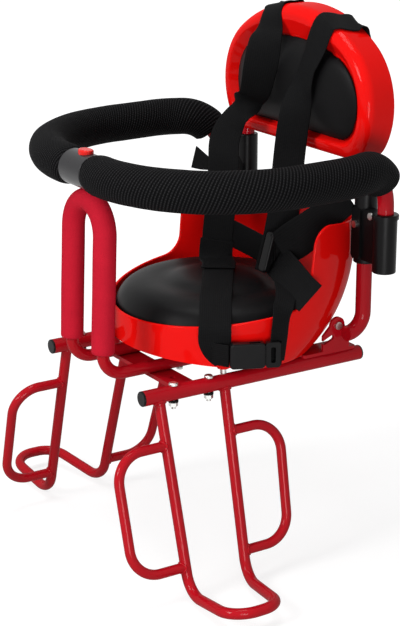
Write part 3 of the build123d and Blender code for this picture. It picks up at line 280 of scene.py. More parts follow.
@dataclass(frozen=True)
class KnitCover:
    """Black spacer knit: hoops of small beads round the tube, leaning a little, with dark gaps.

    The knit reads the piece's own map, whose first value is metres along the tube and whose
    second is the share of the way round it.
    """

    name: str = "knit_cover"
    thread: Colour = (0.0210, 0.0206, 0.0217)
    hole: Colour = (0.0014, 0.0014, 0.0016)
    pitch: float = 0.0039
    lean: int = 14
    beads: int = 44

    def material(self) -> Material:
        """Build the knit.

        Returns:
            The finished material.
        """
        graph = NodeGraph(self.name)
        along, round_, _ = graph.add("SeparateXYZ", {0: graph.place("UV")}).outputs
        wobble = graph.span(graph.noise(graph.place(), 40.0, 2.0), -0.7, 0.7)
        step = graph.math("MULTIPLY", along, math.tau / self.pitch)
        lean = graph.math("MULTIPLY", round_, math.tau * self.lean)
        hoop = graph.math("SINE", graph.math("ADD", graph.math("ADD", step, lean), wobble))
        turn = graph.math("MULTIPLY", round_, math.tau * self.beads)
        shift = graph.math("MULTIPLY", step, 0.5)
        bead = graph.math("SINE", graph.math("SUBTRACT", turn, shift))
        ridge = graph.ramp(hoop, -0.35, 0.95)
        yarn = graph.math("MULTIPLY", ridge, graph.span(graph.ramp(bead, -0.8, 0.6), 0.35, 1.0))
        graph.set(base_color=graph.blend(yarn, self.hole, self.thread), roughness=0.82)
        graph.set(specular_ior_level=0.04)
        graph.set(normal=graph.bump(yarn, 0.8, 0.0010))
        return graph.material


@dataclass(frozen=True)
class Leatherette:
    """Black coated cloth with a fine pebble grain and a soft broad sheen."""

    name: str = "leatherette"
    colour: Colour = (0.0018, 0.0017, 0.0019)
    worn: Colour = (0.0034, 0.0032, 0.0036)

    def material(self) -> Material:
        """Build the coated cloth.

        Returns:
            The finished material.
        """
        graph = NodeGraph(self.name)
        place = graph.place()
        pebble = graph.ramp(graph.cells(place, 640.0), 0.0, 0.75)
        cloud = graph.noise(place, 14.0, 3.0)
        graph.set(base_color=graph.blend(cloud, self.colour, self.worn))
        graph.set(roughness=graph.span(cloud, 0.42, 0.52), specular_ior_level=0.085)
        creases = graph.bump(graph.noise(place, 70.0, 4.0), 0.12, 0.001)
        graph.set(normal=graph.bump(pebble, 0.22, 0.0003, creases))
        return graph.material


@dataclass(frozen=True)
class StrapWeave:
    """Black woven webbing: fine ribs across it, warp lines along it and a firm selvedge.

    The weave reads the strap's own map, in metres along and across the strap.
    """

    name: str = "strap_weave"
    thread: Colour = (0.0092, 0.0092, 0.0097)
    gap: Colour = (0.0016, 0.0016, 0.0018)
    rib_pitch: float = 0.0017
    warp_pitch: float = 0.0026

    def material(self) -> Material:
        """Build the webbing.

        Returns:
            The finished material.
        """
        graph = NodeGraph(self.name)
        along, across, _ = graph.add("SeparateXYZ", {0: graph.place("UV")}).outputs
        rib = graph.math("SINE", graph.math("MULTIPLY", along, math.tau / self.rib_pitch))
        warp = graph.math("SINE", graph.math("MULTIPLY", across, math.tau / self.warp_pitch))
        rib_height = graph.ramp(rib, -1.0, 1.0)
        warp_height = graph.ramp(warp, -1.0, 0.4)
        weave = graph.math("MULTIPLY", rib_height, warp_height)
        fade = graph.span(graph.noise(graph.place(), 30.0, 4.0), 0.35, 1.0)
        tone = graph.math("MULTIPLY", graph.span(weave, 0.3, 1.0), fade)
        graph.set(base_color=graph.blend(tone, self.gap, self.thread), roughness=0.7)
        graph.set(specular_ior_level=0.05)
        graph.set(normal=graph.bump(weave, 0.5, 0.0004))
        return graph.material


@dataclass(frozen=True)
class MouldedPlastic:
    """Moulded plastic or rubber with a fine spark-eroded grain."""

    name: str
    colour: Colour
    roughness: float = 0.42
    grain: float = 0.16
    gloss: float = 0.1

    def material(self) -> Material:
        """Build the plastic.

        Returns:
            The finished material.
        """
        graph = NodeGraph(self.name)
        place = graph.place()
        spark = graph.noise(place, 1500.0, 2.0)
        cloud = graph.noise(place, 45.0, 3.0)
        dark = tuple(0.7 * value for value in self.colour)
        graph.set(base_color=graph.blend(cloud, dark, self.colour))
        graph.set(roughness=graph.span(cloud, self.roughness - 0.06, self.roughness + 0.08))
        graph.set(specular_ior_level=self.gloss)
        graph.set(normal=graph.bump(spark, self.grain, 0.0002))
        return graph.material


@dataclass(frozen=True)
class PlainMetal:
    """Bare or plated metal with fine lines and slightly uneven gloss."""

    name: str
    colour: Colour
    roughness: float = 0.3
    lines: Point = (90.0, 900.0, 900.0)

    def material(self) -> Material:
        """Build the metal.

        Returns:
            The finished material.
        """
        graph = NodeGraph(self.name)
        place = graph.place()
        streak = graph.noise(graph.stretch(place, self.lines), 1.0, 3.0)
        cloud = graph.noise(place, 120.0, 3.0)
        dull = tuple(0.78 * value for value in self.colour)
        graph.set(base_color=graph.blend(cloud, dull, self.colour), metallic=1.0)
        graph.set(roughness=graph.span(streak, self.roughness - 0.07, self.roughness + 0.09))
        graph.set(normal=graph.bump(streak, 0.06, 0.0002))
        return graph.material


class Finish(Enum):
    """The finishes of the seat, by the slot of the record that each one belongs to."""

    FRAME = ("frame_paint", TubePaint())
    SHELL = ("shell_red", ShellPlastic())
    GRIP = ("handle_foam", GripFoam())
    KNIT = ("guard_foam", KnitCover())
    PAD = ("pad_cover", Leatherette())
    WEBBING = ("webbing", StrapWeave())
    BLACK = ("black_plastic", MouldedPlastic("grained_black", (0.0044, 0.0042, 0.0046), 0.34))
    RUBBER = ("washer_rubber", MouldedPlastic("dull_rubber", (0.009, 0.009, 0.009), 0.7, 0.3, 0.1))
    BUTTON = ("button_red", MouldedPlastic("button_gloss", (0.80, 0.020, 0.016), 0.26, 0.05))
    LATCH = ("latch_grey", MouldedPlastic("latch_satin", (0.014, 0.0133, 0.0152), 0.28, 0.06, 0.24))
    STEEL = ("steel", PlainMetal("zinc_steel", (0.62, 0.62, 0.60), 0.3, (500.0, 500.0, 90.0)))

    @property
    def slot(self) -> str:
        """Name of the record's material slot."""
        return self.value[0]

    def material(self) -> Material:
        """Give the finish's material, which is built once."""
        made = bpy.data.materials.get(self.value[1].name)
        return made or self.value[1].material()

    def dress(self, *nodes: str) -> None:
        """Put the finish on solids of the frame.

        Args:
            nodes: Names of the nodes.
        """
        for name in nodes:
            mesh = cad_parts[name].data
            mesh.materials.clear()
            mesh.materials.append(self.material())
            LOG.info("%s dressed with %s", name, self.name)


def put(name: str, data: bpy.types.ID) -> Piece:
    """Add an object to the scene.

    Args:
        name: Name of the object.
        data: Its mesh, lamp or camera.

    Returns:
        The object.
    """
    thing = bpy.data.objects.new(name, data)
    bpy.context.scene.collection.objects.link(thing)
    return thing


def fill_ends(shape: Shape) -> None:
    """Close the open ends of a shape."""
    bmesh.ops.holes_fill(shape, edges=[edge for edge in shape.edges if edge.is_boundary], sides=0)


def shaded_object(name: str, shape: Shape, finish: Finish) -> Piece:
    """Turn a finished shape into a smooth-shaded object in metres.

    Args:
        name: Name of the object.
        shape: The shape in millimetres; it is freed.
        finish: The finish of the piece.

    Returns:
        The object, linked to the scene.
    """
    bmesh.ops.scale(shape, vec=(MM, MM, MM), verts=shape.verts)
    bmesh.ops.recalc_face_normals(shape, faces=shape.faces)
    mesh = bpy.data.meshes.new(name)
    shape.to_mesh(mesh)
    shape.free()
    mesh.polygons.foreach_set("use_smooth", [True] * len(mesh.polygons))
    mesh.materials.append(finish.material())
    return put(name, mesh)


def fit(piece: Piece, body: str, finish: Finish, *nodes: str) -> None:
    """Let a piece ride on a body and stand for solids.

    Args:
        piece: The finished piece.
        body: The body that carries it.
        finish: Not used.
        nodes: The solids that the piece stands for.
    """
    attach(piece, body)
    if nodes:
        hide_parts(*nodes)
    LOG.info("%s rides on %s", piece.name, body)


def refine(piece: Piece) -> None:
    """Add one level of subdivision surface to a piece.

    Args:
        piece: The piece, with its mesh finished.
    """
    smooth = piece.modifiers.new("smooth", "SUBSURF")
    smooth.levels = 1
    smooth.render_levels = 1


@dataclass(frozen=True)
class BentPath:
    """Straight runs joined by tangent arcs, as a tube is bent."""

    corners: tuple[Point, ...]
    radii: tuple[float, ...]

    def points(self, step: float) -> list[Vector]:
        """Walk along the path.

        Args:
            step: Greatest distance between two points.

        Returns:
            Points from the first corner to the last.
        """
        corners = [Vector(corner) for corner in self.corners]
        marks = [corners[0]]
        for before, corner, after, radius in zip(corners, corners[1:], corners[2:], self.radii):
            inward = (before - corner).normalized()
            outward = (after - corner).normalized()
            half_turn = (math.pi - inward.angle(outward)) / 2
            centre = corner + (inward + outward).normalized() * radius / math.cos(half_turn)
            start = corner + inward * radius * math.tan(half_turn)
            axis = outward.cross(inward)
            count = max(2, math.ceil(2 * half_turn * radius / step))
            for index in range(count + 1):
                turn = Matrix.Rotation(2 * half_turn * index / count, 3, axis)
                marks.append(centre + turn @ (start - centre))
        marks.append(corners[-1])
        walked = [marks[0]]
        for first, second in zip(marks, marks[1:]):
            count = max(1, math.ceil((second - first).length / step))
            walked += [first.lerp(second, (index + 1) / count) for index in range(count)]
        return walked


def heading(points: Sequence[Vector], index: int) -> Vector:
    """Give the direction of a path at one of its points."""
    return (points[min(index + 1, len(points) - 1)] - points[max(index - 1, 0)]).normalized()


def stood(point: Vector, across: Vector, ahead: Vector) -> Matrix:
    """Set up a frame at a point of a path.

    Args:
        point: Where the frame stands.
        across: Rough direction of its first axis.
        ahead: Direction of its third axis, of length 1.

    Returns:
        The frame, with its first axis square to the third.
    """
    across = (across - ahead * across.dot(ahead)).normalized()
    turned = Matrix((across, ahead.cross(across), ahead)).transposed()
    return Matrix.Translation(point) @ turned.to_4x4()


def carried_frames(points: Sequence[Vector], across: Vector) -> list[Matrix]:
    """Carry a frame along points with no twist.

    Args:
        points: The points of the path.
        across: Rough direction of the frames' first axis at the start.

    Returns:
        One matrix per point, with its third axis along the path.
    """
    frames = []
    for index, point in enumerate(points):
        frames.append(stood(point, across, heading(points, index)))
        across = frames[-1].col[0].to_3d()
    return frames


def edges_round(shape: Shape, ring: list[Vert]) -> list[bmesh.types.BMEdge]:
    """Give the edges between neighbours in a ring of vertices."""
    return [shape.edges.get(pair) for pair in zip(ring, ring[1:] + ring[:1])]


def sweep(
    shape: Shape,
    section: list[Vert],
    frames: Sequence[Matrix],
    closed: bool = False,
) -> list[list[Vert]]:
    """Extrude a section, drawn about the origin, from frame to frame.

    Args:
        shape: The shape that holds the section.
        section: The section's vertices in order.
        frames: One matrix for each ring.
        closed: Whether the last ring joins the first.

    Returns:
        The rings of vertices, each in the section's order.
    """
    drawn = [vert.co.copy() for vert in section]
    rings = [section]
    for vert, place in zip(section, drawn):
        vert.co = frames[0] @ place
    for matrix in frames[1:]:
        last = rings[-1]
        grown = bmesh.ops.extrude_edge_only(shape, edges=edges_round(shape, last))
        new = {item for item in grown["geom"] if isinstance(item, Vert)}
        ring = []
        for vert in last:
            beside = (edge.other_vert(vert) for edge in vert.link_edges)
            ring.append(next(other for other in beside if other in new))
        for vert, place in zip(ring, drawn):
            vert.co = matrix @ place
        rings.append(ring)
    if closed:
        ends = edges_round(shape, rings[0]) + edges_round(shape, rings[-1])
        bmesh.ops.bridge_loops(shape, edges=ends)
    return rings


def map_rings(
    shape: Shape,
    rings: list[list[Vert]],
    sideways: Callable[[int], float],
    wraps: bool,
) -> None:
    """Write a map of distance along the rings and place round or across them.

    Args:
        shape: The shape, in millimetres.
        rings: Its rings of vertices.
        sideways: Gives the second value for a vertex of a ring.
        wraps: Whether the second value runs from 0 to 1 round the ring.
    """
    layer = shape.loops.layers.uv.new("UVMap")
    values: dict[Vert, tuple[float, float]] = {}
    travelled = 0.0
    middle = sum((vert.co for vert in rings[0]), Vector()) / len(rings[0])
    for ring in rings:
        centre = sum((vert.co for vert in ring), Vector()) / len(ring)
        travelled += (centre - middle).length * MM
        middle = centre
        for index, vert in enumerate(ring):
            values[vert] = (travelled, sideways(index))
    for face in shape.faces:
        places = [values[vert][1] for vert in face.verts]
        beyond = wraps and max(places) - min(places) > 0.5
        for loop in face.loops:
            along, aside = values[loop.vert]
            loop[layer].uv = (along, aside + 1.0 if beyond and aside < 0.5 else aside)


def round_sleeve(
    path: Sequence[Vector], radius: Callable[[float, float, float], float], segments: int
) -> Shape:
    """Make a sleeve round a path, open at both ends.

    Args:
        path: Points along the tube's axis.
        radius: Radius for the distance from the start, the distance from the end and the share round.
        segments: Number of vertices in a ring.

    Returns:
        The shape, mapped along and round.
    """
    shape = bmesh.new()
    section = bmesh.ops.create_circle(shape, segments=segments, radius=1.0)["verts"]
    rings = sweep(shape, section, carried_frames(path, Vector((0, 0, 1))))
    lengths = [0.0]
    for first, second in zip(path, path[1:]):
        lengths.append(lengths[-1] + (second - first).length)
    for ring, centre, travelled in zip(rings, path, lengths):
        for index, vert in enumerate(ring):
            reach = radius(travelled, lengths[-1] - travelled, index / segments)
            vert.co = centre + (vert.co - centre).normalized() * reach
    map_rings(shape, rings, lambda index: index / segments, True)
    return shape


@dataclass(frozen=True)
class Lamp:
    """A square area light: where it stands, the point it faces, its side in metres, its watts."""

    name: str
    place: Point
    aim: Point
    size: float
    power: float


@dataclass
class Studio:
    """Camera at the photograph's angle, a pale floor and soft light, in metres."""

    eye: Point = (1.771, -1.134, 0.725)
    back: Point = (0.804, -0.510, 0.3057)
    lens: float = 98.45
    sensor: float = 36.0
    shift: float = 0.0045
    lamps: tuple[Lamp, ...] = (
        Lamp("key", (0.1, -2.6, 1.5), (0.0, 0.0, 0.05), 0.9, 50.0),
        Lamp("side", (1.5, -0.8, 0.1), (0.1, 0.0, 0.05), 0.6, 14.0),
        Lamp("top", (-0.2, -0.3, 2.6), (0.0, 0.0, 0.0), 1.0, 30.0),
    )
    fill: float = 0.32
    floor_z: float = -0.2385
    floor_half: float = 25.0
    floor_grey: float = 0.3
    near: float = 0.5
    far: float = 1.6
    near_glow: float = 0.78

    def build(self) -> None:
        """Set up the camera, the lights, the floor and the world."""
        scene = bpy.context.scene
        scene.view_settings.view_transform = "Standard"
        camera = put("camera", bpy.data.cameras.new("camera"))
        camera.data.lens = self.lens
        camera.data.sensor_width = self.sensor
        camera.data.shift_y = self.shift
        camera.location = self.eye
        camera.rotation_euler = (-Vector(self.back)).to_track_quat("-Z", "Y").to_euler()
        scene.camera = camera
        for lamp in self.lamps:
            self.softbox(lamp)
        self.floor()
        self.sky(scene)

    def softbox(self, lamp: Lamp) -> None:
        """Add an area light to the scene.

        Args:
            lamp: The light's place, aim, size and power.
        """
        light = bpy.data.lights.new(lamp.name, "AREA")
        light.size = lamp.size
        light.energy = lamp.power
        stand = put(lamp.name, light)
        stand.location = lamp.place
        stand.rotation_euler = (Vector(lamp.aim) - Vector(lamp.place)).to_track_quat("-Z", "Y").to_euler()

    def seen(self, tree: bpy.types.NodeTree) -> Socket:
        """Tell the rays that show a background from those that only light the seat.

        Args:
            tree: The node tree of the floor or the world.

        Returns:
            A socket that gives 1 for rays from the camera, from gloss and through glass.
        """
        path = tree.nodes.new("ShaderNodeLightPath")
        total = path.outputs["Is Camera Ray"]
        for name in ("Is Glossy Ray", "Is Transmission Ray"):
            either = tree.nodes.new("ShaderNodeMath")
            either.operation = "MAXIMUM"
            tree.links.new(total, either.inputs[0])
            tree.links.new(path.outputs[name], either.inputs[1])
            total = either.outputs[0]
        return total

    def floor(self) -> None:
        """Lay a wide floor under the feet, which glows white and takes the seat's shadow."""
        shape = bmesh.new()
        bmesh.ops.create_grid(shape, x_segments=1, y_segments=1, size=self.floor_half)
        bmesh.ops.translate(shape, verts=shape.verts, vec=(0, 0, self.floor_z))
        mesh = bpy.data.meshes.new("floor")
        shape.to_mesh(mesh)
        shape.free()
        graph = NodeGraph("floor_white")
        graph.set(base_color=rgba((self.floor_grey,) * 3), specular_ior_level=0.0)
        graph.set(emission_color=rgba((1, 1, 1)))
        ground = graph.add("VectorMath", {0: graph.place()}, operation="LENGTH").outputs["Value"]
        pale = graph.span(graph.ramp(ground, self.near, self.far), self.near_glow, 1.0)
        graph.set(emission_strength=graph.math("MULTIPLY", self.seen(graph.tree), pale))
        mesh.materials.append(graph.material)
        put("floor", mesh)

    def sky(self, scene: bpy.types.Scene) -> None:
        """Light the scene evenly and show white where nothing stands.

        Args:
            scene: The scene that gets the world.
        """
        world = bpy.data.worlds.new("studio")
        world.use_nodes = True
        tree = world.node_tree
        background = next(node for node in tree.nodes if node.type == "BACKGROUND")
        background.inputs["Color"].default_value = rgba((1, 1, 1))
        strength = tree.nodes.new("ShaderNodeMapRange")
        strength.inputs["To Min"].default_value = self.fill
        tree.links.new(self.seen(tree), strength.inputs["Value"])
        tree.links.new(strength.outputs[0], background.inputs["Strength"])
        scene.world = world


@dataclass
class SteelFrame:
    """Rails, legs, loops, brackets and uprights, with the weld beads that join the tubes."""

    rail: tuple[float, float, float] = (115.5, 5.0, 9.5)
    legs: tuple[tuple[float, float], ...] = ((-143.0, -141.0), (-49.0, -58.0))
    foot: tuple[float, float] = (183.0, -231.0)
    leg_radius: float = 6.75
    loop_radius: float = 6.25
    loop_heights: tuple[float, float] = (-54.0, -198.0)
    bead: float = 1.7
    bead_points: int = 40
    bead_wave: float = 0.16
    points_per_wave: int = 4
    bead_sides: int = 8

    def build(self) -> None:
        """Dress the tubes and lay the beads."""
        for side in SIDES:
            pieces = ("rail", "leg", "front_loop", "rear_loop", "bracket")
            Finish.FRAME.dress(*[f"{side}_{piece}" for piece in pieces])
        Finish.FRAME.dress("front_cross_bar", "rear_cross_bar", "handle_tube", "upright_frame")
        Finish.FRAME.dress("left_guard_tube", "right_guard_tube")
        shape = bmesh.new()
        for sign in SIDES.values():
            self.leg_beads(shape, sign)
        piece = shaded_object("weld_beads", shape, Finish.FRAME)
        fit(piece, SEAT_BODY, Finish.FRAME)

    def leg_beads(self, shape: Shape, sign: int) -> None:
        """Lay the beads of one side's legs and loops.

        Args:
            shape: The shape that takes the beads.
            sign: 1 for the left, -1 for the right.
        """
        rail_x, rail_z, rail_radius = self.rail
        foot_x, foot_z = self.foot
        for (top_y, foot_y), way in zip(self.legs, (-1, 1)):
            top = Vector((sign * rail_x, top_y, rail_z))
            down = (Vector((sign * foot_x, foot_y, foot_z)) - top).normalized()
            self.bead_round(shape, top, down, self.leg_radius, top, Vector((0, 1, 0)), rail_radius)
            for height in self.loop_heights:
                joint = top + down * (height - rail_z) / down.z
                self.bead_round(
                    shape, joint, Vector((0, way, 0)), self.loop_radius, joint, down, self.leg_radius
                )

    def bead_round(
        self,
        shape: Shape,
        start: Vector,
        run: Vector,
        radius: float,
        host: Vector,
        host_run: Vector,
        host_radius: float,
    ) -> None:
        """Lay a bead where a tube meets the side of another.

        Args:
            shape: The shape that takes the bead.
            start: A point on the tube's axis inside the host tube.
            run: Direction in which the tube leaves the host.
            radius: Radius of the tube.
            host: A point on the host's axis.
            host_run: Direction of the host's axis.
            host_radius: Radius of the host tube.
        """
        side = run.orthogonal().normalized()
        other = run.cross(side)
        points = []
        count = self.bead_points
        for index in range(count):
            turn = math.tau * index / count
            spot = start + (side * math.cos(turn) + other * math.sin(turn)) * radius
            gap = spot - host
            gap -= host_run * gap.dot(host_run)
            lean = run - host_run * run.dot(host_run)
            half = gap.dot(lean)
            square = lean.length_squared
            root = math.sqrt(max(0.0, half**2 - square * (gap.length_squared - host_radius**2)))
            points.append(spot + run * (root - half) / square)
        frames = []
        for index, point in enumerate(points):
            ahead = (points[(index + 1) % count] - points[index - 1]).normalized()
            wave = math.sin(math.tau * index / self.points_per_wave)
            size = self.bead * (1.0 + self.bead_wave * wave)
            frames.append(stood(point, point - start, ahead) @ Matrix.Diagonal((size, size, 1, 1)))
        section = bmesh.ops.create_circle(shape, segments=self.bead_sides, radius=1.0)["verts"]
        sweep(shape, section, frames, closed=True)


@dataclass
class GrabHandle:
    """Foam grip over the arch in front of the seat."""

    corners: tuple[Point, ...] = (
        (39.4, -175.9, 42.0), (39.4, -169.0, 226.0), (-39.4, -169.0, 226.0), (-39.4, -175.9, 42.0)
    )
    bend: float = 39.2
    foam_radius: float = 14.4
    bore: float = 7.9
    lip: float = 3.0
    swell: float = 0.22
    swell_rate: float = 0.02
    step: float = 3.0
    segments: int = 40

    def reach(self, start: float, end: float, share: float) -> float:
        """Give the foam's radius, full along the grip and rounded at both ends.

        Args:
            start: Distance from the sleeve's start.
            end: Distance from its end.
            share: Share of the way round it.

        Returns:
            The radius at that place.
        """
        edge = min(start, end)
        turn = math.tau * share
        swell = self.swell * noise.noise(Vector((start * self.swell_rate, math.cos(turn), math.sin(turn))))
        if edge >= self.lip:
            return self.foam_radius + swell
        drop = self.lip - math.sqrt(max(0.0, self.lip**2 - (self.lip - edge) ** 2))
        return self.foam_radius + swell - drop

    def build(self) -> None:
        """Model the grip."""
        path = BentPath(self.corners, (self.bend, self.bend)).points(self.step)
        shape = round_sleeve(eased(path, self.lip), self.reach, self.segments)
        close_ends(shape, self.bore)
        piece = shaded_object("handle_grip", shape, Finish.GRIP)
        fit(piece, SEAT_BODY, Finish.GRIP, "handle_foam")


def eased(path: list[Vector], lip: float) -> list[Vector]:
    """Add close-set points at both ends of a path, where a sleeve's end is rounded.

    Args:
        path: Points of the path.
        lip: Length of the rounded part.

    Returns:
        The path with the new points.
    """
    shares = (0.0, 0.04, 0.15, 0.32, 0.55, 0.8)

    def lead(first: Vector, second: Vector) -> list[Vector]:
        """Give the close-set points at one end."""
        ahead = (second - first).normalized()
        return [first + ahead * lip * share for share in shares]

    head = lead(path[0], path[1])
    tail = lead(path[-1], path[-2])
    middle = [
        point for point in path if (point - path[0]).length > lip and (point - path[-1]).length > lip
    ]
    return head + middle + tail[::-1]


def close_ends(shape: Shape, bore: float) -> None:
    """Turn both open ends of a sleeve in to the tube it covers.

    Args:
        shape: The sleeve.
        bore: Radius at which the end faces stop.
    """
    rims = [edge for edge in shape.edges if edge.is_boundary]
    grown = bmesh.ops.extrude_edge_only(shape, edges=rims)
    inner = [item for item in grown["geom"] if isinstance(item, Vert)]
    ends: list[list[Vert]] = [[], []]
    first = inner[0].co.copy()
    for vert in inner:
        ends[(vert.co - first).length > 4 * bore].append(vert)
    for end in ends:
        centre = sum((vert.co for vert in end), Vector()) / len(end)
        for vert in end:
            vert.co = centre + (vert.co - centre).normalized() * bore
    fill_ends(shape)


@dataclass
class GuardRing:
    """Knit-covered foam halves, their latch and their hinges."""

    front: tuple[float, float] = (-175.0, 264.0)
    start_x: float = 26.3
    turn: Point = (217.0, 66.0, 266.89)
    shoulder: Point = (196.6, 112.05, 267.44)
    end: Point = (189.83, 127.33, 249.06)
    bends: tuple[float, float, float] = (165.0, 90.0, 55.0)
    foam_radius: float = 25.0
    bore: float = 10.2
    lip: float = 7.0
    taper: tuple[float, float] = (16.0, 6.0)
    lip_drop: float = 5.25
    swells: tuple[float, float] = (0.45, 0.25)
    swell_rate: float = 0.018
    fine_rate: float = 3.1
    step: float = 4.0
    segments: int = 56
    wire: float = 0.45
    wire_sides: int = 8
    coils: int = 5
    points_per_coil: int = 24
    travel: float = 3.0

    def reach(self, start: float, end: float, share: float) -> float:
        """Give the cover's radius, with soft swells along it and rounded ends.

        Args:
            start: Distance from the cover's start, at the latch.
            end: Distance from its end, at the hinge.
            share: Share of the way round it.

        Returns:
            The radius at that place.
        """
        turn = math.tau * share
        around = Vector((math.cos(turn), math.sin(turn), start * self.swell_rate))
        broad, fine = self.swells
        swell = broad * noise.noise(around) + fine * noise.noise(around * self.fine_rate)
        drop = 0.0
        for edge, length, depth in ((start, *self.taper), (end, self.lip, self.lip_drop)):
            short = max(0.0, 1.0 - edge / length)
            drop += depth * (1.0 - math.sqrt(1.0 - short**2))
        return self.foam_radius + swell - drop

    def build(self) -> None:
        """Model both covers and dress the latch and the hinges."""
        for side, sign in SIDES.items():
            y, z = self.front
            corners = ((self.start_x, y, z), (self.turn[0], y, z), self.turn, self.shoulder, self.end)
            placed = tuple((sign * corner[0], corner[1], corner[2]) for corner in corners)
            path = BentPath(placed, self.bends).points(self.step)
            shape = round_sleeve(eased(path, self.lip), self.reach, self.segments)
            close_ends(shape, self.bore)
            piece = shaded_object(f"{side}_guard_cover", shape, Finish.KNIT)
            refine(piece)
            fit(piece, f"{side}_guard", Finish.KNIT, f"{side}_guard_foam")
        Finish.LATCH.dress("latch_housing", "latch_tongue")
        Finish.BUTTON.dress("release_button")
        Finish.BLACK.dress("left_hinge_block", "right_hinge_block")
        self.wind_spring()

    def wind_spring(self) -> None:
        """Wind the coil under the release button, to the size of its solid."""
        low, high = (Vector(corner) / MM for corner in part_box("button_spring"))
        middle = (low + high) / 2
        radius = (high.x - low.x) / 2 - self.wire
        rise = high.z - low.z - 2 * self.wire
        count = self.points_per_coil * self.coils
        path = []
        for index in range(count + 1):
            turn = math.tau * index / self.points_per_coil
            round_axis = Vector((math.cos(turn), math.sin(turn), 0.0)) * radius
            path.append(Vector((middle.x, middle.y, low.z + self.wire + rise * index / count)) + round_axis)
        shape = bmesh.new()
        section = bmesh.ops.create_circle(shape, segments=self.wire_sides, radius=self.wire)["verts"]
        sweep(shape, section, carried_frames(path, Vector((0, 0, 1))))
        fill_ends(shape)
        piece = shaded_object("button_coil", shape, Finish.STEEL)
        fit(piece, "right_guard", Finish.STEEL, "button_spring")
        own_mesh(piece)


@dataclass
class PaddedCushion:
    """A pad that starts as its plain solid and is blown up as a closed cloth."""

    node: str
    name: str
    pinned: Callable[[Vector], bool]
    shape: Callable[[Vector], Vector]
    cap: float
    voxel: float = 5.0
    merge: float = 1e-5
    pressure: float = 1.2
    frames: int = 20
    fill: float = 0.7
    passes: int = 24
    pull: float = 0.5

    def build(self) -> None:
        shape = bmesh.new()
        shape.from_mesh(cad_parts[self.node].data)
        bmesh.ops.remove_doubles(shape, verts=shape.verts, dist=self.merge)
        bmesh.ops.scale(shape, vec=(1 / MM,) * 3, verts=shape.verts)
        piece = shaded_object(self.name, shape, Finish.PAD)
        remesh = piece.modifiers.new("even", "REMESH")
        remesh.mode = "VOXEL"
        remesh.voxel_size = self.voxel * MM
        self.bake(piece)
        for vert in piece.data.vertices:
            vert.co = self.shape(vert.co / MM) * MM
        self.inflate(piece)
        self.relax(piece)
        piece.data.polygons.foreach_set("use_smooth", [True] * len(piece.data.polygons))
        refine(piece)
        fit(piece, SEAT_BODY, Finish.PAD, self.node)

    def bake(self, piece: Piece) -> None:
        """Make the piece's modifiers part of its mesh.

        Args:
            piece: The piece, which keeps no modifier.
        """
        graph = bpy.context.evaluated_depsgraph_get()
        baked = bpy.data.meshes.new_from_object(piece.evaluated_get(graph))
        piece.modifiers.clear()
        old = piece.data
        piece.data = baked
        bpy.data.meshes.remove(old)
        piece.data.name = self.name

    def inflate(self, piece: Piece) -> None:
        """Run the cloth under pressure and keep its capped result.

        Args:
            piece: The remeshed pad.
        """
        scene = bpy.context.scene
        rest = [vert.co.copy() for vert in piece.data.vertices]
        pins = piece.vertex_groups.new(name="held")
        pins.add([i for i, co in enumerate(rest) if self.pinned(co / MM)], 1.0, "REPLACE")
        cloth = piece.modifiers.new("cloth", "CLOTH")
        cloth.settings.use_pressure = True
        cloth.settings.uniform_pressure_force = self.pressure
        cloth.settings.effector_weights.gravity = 0.0
        cloth.settings.vertex_group_mass = pins.name
        cloth.point_cache.frame_start = 1
        cloth.point_cache.frame_end = self.frames
        for index in range(1, self.frames + 1):
            scene.frame_set(index)
        self.bake(piece)
        scene.frame_set(1)
        limit = self.cap * MM
        for vert, start in zip(piece.data.vertices, rest):
            move = vert.co - start
            if move.length > limit:
                vert.co = start + move.normalized() * limit
        piece.vertex_groups.clear()

    def relax(self, piece: Piece) -> None:
        """Smooth the free part of the cover, as tight cloth lies without folds.

        Args:
            piece: The pad.
        """
        shape = bmesh.new()
        shape.from_mesh(piece.data)
        free = [vert for vert in shape.verts if not self.pinned(vert.co / MM)]
        for _ in range(self.passes):
            bmesh.ops.smooth_vert(
                shape, verts=free, factor=self.pull, use_axis_x=True, use_axis_y=True, use_axis_z=True
            )
        shape.to_mesh(piece.data)
        shape.free()


@dataclass
class BucketSeat:
    """Moulded bucket with its domed pad."""

    held_below: float = 73.3
    centre_y: float = 21.0
    draw: float = 0.988
    sink: float = 0.8
    sink_above: float = 80.0
    cap: float = 3.0

    def build(self) -> None:
        """Dress the bucket and blow up its pad."""
        Finish.SHELL.dress("seat_shell")
        PaddedCushion("seat_pad", "seat_cushion", self.held, self.drawn_in, self.cap).build()

    def held(self, spot: Vector) -> bool:
        """Tell whether the bucket's wall holds a point of the pad."""
        return spot.z < self.held_below

    def drawn_in(self, spot: Vector) -> Vector:
        """Draw a point of the pad in from the wall, so that the blown pad stays inside it.

        Args:
            spot: A point of the plain pad.

        Returns:
            Its new place, a little lower on top.
        """
        centre = Vector((0.0, self.centre_y, spot.z))
        lower = Vector((0, 0, self.sink if spot.z > self.sink_above else 0.0))
        return centre + (spot - centre) * self.draw - lower


